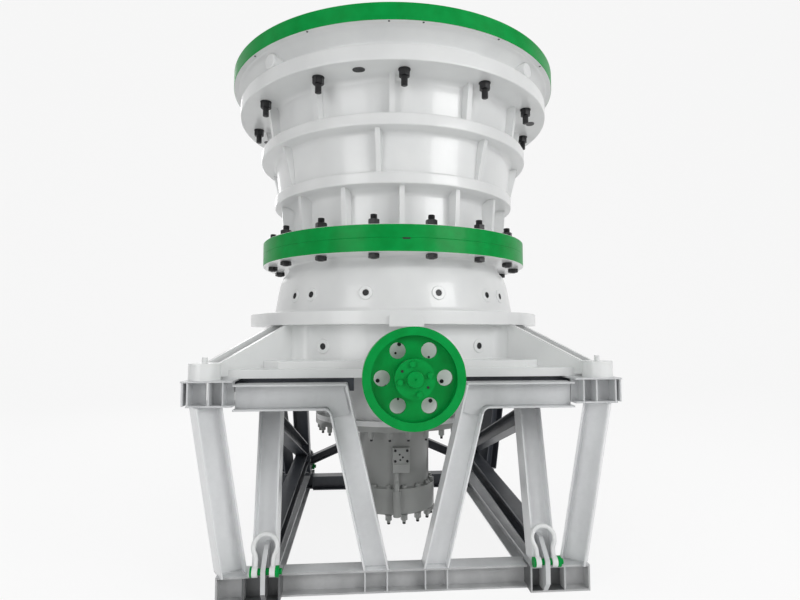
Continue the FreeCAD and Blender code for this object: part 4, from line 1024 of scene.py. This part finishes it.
corner_pads_steel = corner_pads()
print("corner pads have", len(corner_pads_steel.data.polygons), "faces")

# %% [markdown]
# ## Welds and plates on the stand
# What plain steel still lacks is the welder's work: beads where members meet, doubler plates over the
# knees of the two frames, and stiffeners in the bottom rail under the inner legs. A bead is a thin lumpy
# tube laid in the corner.

# %% Weld beads
def bead_into(made, start, end):
    """A rippled round bead from start to end."""
    radius, ripple, step_length, sides = 0.007, 0.0016, 0.012, 8
    way = end - start
    steps = max(4, int(way.length / step_length))
    turn = way.to_track_quat("Z", "Y").to_matrix()
    rings = []
    for k in range(steps + 1):
        here = start + way * (k / steps)
        size = radius + ripple * math.sin(k * 1.9) + 0.5 * ripple * math.sin(k * 0.7 + start.x * 9)
        if k in (0, steps):
            size *= 0.4
        ring = []
        for j in range(sides):
            a = 2 * math.pi * j / sides
            ring.append(made.verts.new(here + turn @ Vector((size * math.cos(a), size * math.sin(a), 0))))
        rings.append(ring)
    skin(made, rings)


def section_beads(made, centre, depth, width, turned=0.0):
    """Beads round the end of an upright section that stands at centre."""
    turn = Matrix.Translation(centre) @ Matrix.Rotation(turned, 4, "Z")
    inner = depth / 2 - STEEL
    runs = []
    for side in (-1, 1):
        runs.append(((-inner, side * WEB / 2), (inner, side * WEB / 2)))
        for x in (inner, depth / 2):
            runs.append(((side * x, -width / 2), (side * x, width / 2)))
    for start, end in runs:
        bead_into(made, turn @ Vector((*start, 0)), turn @ Vector((*end, 0)))


def weld_stand():
    made = bmesh.new()
    for x, y in CORNERS:
        for end in LEG:
            section_beads(made, at_corner(x, y, end), 0.19, 0.19, x * y * LEG_LEAN)
        for end in POST:
            section_beads(made, at_corner(x, y, end), 0.185, 0.2)
    for x in (-0.240, 0.240):
        section_beads(made, (x, -RAIL_LINE, RAIL_TOP), 0.2, 0.175)
    return piece("stand_welds", made, [stand_pale], "stand_white")


stand_welds = weld_stand()
print("weld beads have", len(stand_welds.data.polygons), "faces")

# %% Doubler plates, rail stiffeners and bars of painted shade
def plate_stand():
    made = bmesh.new()
    knee = [(0.700, 1.630), (0.700, 1.470), (0.625, 1.470), (0.606, 1.448), (0.588, 1.378), (0.452, 1.414),
            (0.500, 1.630)]
    knee_y, doubler, stiffener = -1.623, 0.009, 0.012
    low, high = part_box("front_bottom_rail")
    for side in (-1, 1):
        flat_plate(made, [(side * x, z) for x, z in knee], knee_y, doubler)
        for place in (0.152, 0.328):
            box_into(made, (side * place - stiffener / 2, low[1] + 0.002, low[2] + 0.013),
                     (side * place + stiffener / 2, -RAIL_LINE - WEB / 2, high[2] - 0.013))
    return piece("stand_plates", made, [stand_pale], "stand_white", bevel=0.0015)


def fill_gap():
    """Dark bars under the base plate, painted shade that closes the view through the gap above the frames.
    """
    made = bmesh.new()
    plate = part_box("base_frame")[0][2]
    under, over = plate - 0.110, plate + 0.004
    for x, y in CORNERS:
        pad_plate(made, x, y, (0.420, 1.400, under), (1.330, 1.450, over))
        pad_plate(made, x, y, (1.325, 1.400, under), (1.395, 1.450, plate - 0.012))
        pad_plate(made, x, y, (1.290, 0.300, under), (1.340, 1.395, over))
    return piece("gap_shade_bars", made, [stand_painted_back_shade], "stand_white", bevel=0.002)


stand_plates = plate_stand()
gap_shade_bars = fill_gap()
print("plates made")

# %% [markdown]
# ## Finishing the CAD nodes that stay
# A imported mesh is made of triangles. Dissolving the flat ones first gives whole faces, so a small bevel
# can run along every sharp edge without catching on hidden diagonals, and the rolled sections get the
# bright edge line that the photograph shows. The bevel is a modifier, so the CAD points stay put.

# %% Round the edges of the CAD nodes
EDGE = {"base_frame": 0.010, "centre_hub": 0.008, "cylinder_head": 0.004, "lift_cylinder": 0.004,
        "cylinder_cover": 0.005, "countershaft_housing": 0.006, "drive_wheel": 0.012,
        "wheel_hub": 0.004, "spider_bridge": 0.015, "spider_cap": 0.006, "mantle": 0.008}
STAND_EDGE = 0.003


def whole_faces(thing):
    flat = thing.modifiers.new("whole faces", "DECIMATE")
    flat.decimate_type = "DISSOLVE"
    flat.angle_limit = math.radians(0.8)


for name, node in frame["nodes"].items():
    if name in stood_for:
        continue
    width = EDGE.get(name, STAND_EDGE if slot_of[name] == "stand_white" else 0.0)
    if width:
        whole_faces(node)
    round_edges(node, width)
print("rounded", len(frame["nodes"]) - len(stood_for), "nodes")

# %% Painted shade low down and behind
# The parts under the hub take the darker white, as painted shade.
for name in ("cylinder_head", "lift_cylinder", "cylinder_cover", "oil_pipe"):
    paint(frame["nodes"][name], casting_painted_shade)
# The braces and the beams at the back are painted near-black, as painted shade, and so are the faces of the
# blocks and side rails behind the crusher.
for name in ("side_braces_upper", "side_braces_lower", "back_brace", "back_brace_halves",
             "back_bottom_rail", "back_top_beam", "side_top_beams"):
    paint(frame["nodes"][name], stand_painted_back_shade)
for name in ("bottom_corner_blocks", "side_bottom_rails"):
    darken_back(frame["nodes"][name])


def finish_rail(rail):
    """The front rail is in shade, apart from its top, which the key lamp reaches."""
    paint(rail, stand_wear_and_shade)
    rail.data.materials.append(stand_painted_light)
    for face in rail.data.polygons:
        face.material_index = 1 if face.normal.z > 0.9 and face.center.z > RAIL_TOP - 0.002 else 0


def finish_blocks(blocks):
    """The pockets of the front corner blocks get painted shade, darkest under the shackles' lugs."""
    inner_end, front = 1.190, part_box("bottom_corner_blocks")[0][1]
    for material in (stand_painted_deep_shade, stand_wear_and_shade):
        blocks.materials.append(material)
    for face in blocks.polygons:
        recessed = face.center.y > front + 0.03 and face.center.z < BLOCK_TOP - 0.004
        if face.center.y < BEHIND and recessed:
            face.material_index = 2 if abs(face.center.x) < inner_end else 3


finish_rail(frame["nodes"]["front_bottom_rail"])
finish_blocks(frame["nodes"]["bottom_corner_blocks"].data)
print("dark finishes given")

# %% [markdown]
# ## Studio
# The photograph was cut out on white. A big pale floor that turns up behind the machine gives the
# same plain ground and still shows where the stand touches it. Soft lamps stand in front, above and
# behind, weak enough that no white clips. The world has pale window panes for the gloss paint to
# mirror, and the camera sees a plain white in their place.

# %% Floor and backdrop
def sweep_floor():
    """A pale floor that curves up into a backdrop behind the machine."""
    mesh = bpy.data.meshes.new("floor")
    made = bmesh.new()
    reach, bend_start, bend, steps = 40.0, 14.0, 6.0, 12
    path = [(-reach, 0.0), (bend_start, 0.0)]
    for step in range(1, steps + 1):
        turn = math.radians(90 * step / steps)
        path.append((bend_start + bend * math.sin(turn), bend - bend * math.cos(turn)))
    path.append((bend_start + bend, reach))
    rows = [[made.verts.new((x, y, z)) for x in (-reach, reach)] for y, z in path]
    for low, high in zip(rows, rows[1:]):
        made.faces.new((low[0], low[1], high[1], high[0]))
    made.to_mesh(mesh)
    made.free()
    mesh.shade_smooth()
    floor = bpy.data.objects.new("floor", mesh)
    bpy.context.scene.collection.objects.link(floor)
    return floor


def seen_by(tree, *kinds):
    """1 for a camera ray or a ray of these kinds, and 0 for the light that falls on the machine."""
    ray = add_node(tree, "ShaderNodeLightPath")
    seen = ray.twin("Is Camera Ray")
    for kind in kinds:
        seen = seen + ray.twin(kind)
    return seen.maths("MINIMUM", seen, 1.0)


def floor_paint():
    """White to the camera and to reflections, and still darkened by the shadow under the stand."""
    material, tree, shader = start_material("floor_paint")
    shader.inputs["Base Color"].default_value = (0.86, 0.86, 0.86, 1)
    shader.inputs["Roughness"].default_value = 0.9
    glow = add_node(tree, "ShaderNodeEmission", {}, {"Color": (1, 1, 1, 1), "Strength": 1.0})
    share = seen_by(tree, "Is Glossy Ray", "Is Transmission Ray") * 0.88
    mixed = add_node(tree, "ShaderNodeMixShader", {}, {0: share, 1: Wire(tree, shader.outputs[0]), 2: glow})
    tree.links.new(mixed.socket, tree.nodes["Material Output"].inputs["Surface"])
    return material


floor = sweep_floor()
paint(floor, floor_paint())
print("floor ready")

# %% Lamps, world and camera
def lamp(name, place, aim, size, watts):
    """A square soft lamp that faces a point."""
    light = bpy.data.lights.new(name, "AREA")
    light.shape = "RECTANGLE"
    light.size, light.size_y = size
    light.energy = watts
    made = bpy.data.objects.new(name, light)
    made.location = place
    made.rotation_euler = (Vector(aim) - Vector(place)).to_track_quat("-Z", "Y").to_euler()
    bpy.context.scene.collection.objects.link(made)
    return made


def workshop_light(tree):
    """Bright windows and darker walls for the gloss paint to mirror. The camera sees a plain white."""
    way = add_node(tree, "ShaderNodeTexCoord", out="Generated")
    across = add_node(tree, "ShaderNodeSeparateXYZ", {}, {0: way}, "X")
    along, height = across.twin("Y"), across.twin("Z")
    azimuth = across.maths("ARCTAN2", across, along)
    windows, window_top = 7.0, 0.62
    pane = azimuth.maths("SINE", azimuth * windows).within(-0.15, 0.15)
    tall = height.within(0.02, 0.06) * (window_top - height).within(0.0, 0.05)
    ceiling = height.within(window_top, 0.80)
    room = 0.24 + pane * tall * 0.55 + ceiling * 0.18
    seen = seen_by(tree, "Is Transmission Ray")
    level = room * (1.0 - seen) + seen * 0.94
    background = tree.nodes["Background"]
    background.inputs["Color"].default_value = (1, 1, 1, 1)
    tree.links.new(level.socket, background.inputs["Strength"])


lamp("key_lamp", (7.5, -8.5, 5.5), (0, 0, 2.4), (5, 4), 400)
lamp("fill_lamp", (-6.5, -9.0, 4.0), (0, 0, 2.2), (4, 6), 200)
lamp("top_lamp", (0, -1.0, 11.0), (0, 0, 4.0), (8, 6), 190)
lamp("back_lamp", (-3.0, 9.0, 7.0), (0, 0, 2.5), (6, 5), 190)

scene = bpy.context.scene
world = bpy.data.worlds.new("studio")
scene.world = world
world.use_nodes = True
workshop_light(world.node_tree)
scene.view_settings.view_transform = "Standard"

CAMERA_PLACE = Vector((-0.3827, -5.9364, 2.030))
CAMERA_LOOK = Vector((0.07616, 0.99499, 0.06484))
CAMERA_ROLL = math.radians(-0.141)
eye = bpy.data.cameras.new("camera")
eye.lens = 24.3
eye.sensor_width = 36.0
camera = bpy.data.objects.new("camera", eye)
turned = CAMERA_LOOK.to_track_quat("-Z", "Y") @ Matrix.Rotation(CAMERA_ROLL, 3, "Z").to_quaternion()
camera.location = CAMERA_PLACE
camera.rotation_euler = turned.to_euler()
scene.collection.objects.link(camera)
scene.camera = camera
print("camera at", tuple(round(v, 3) for v in CAMERA_PLACE))
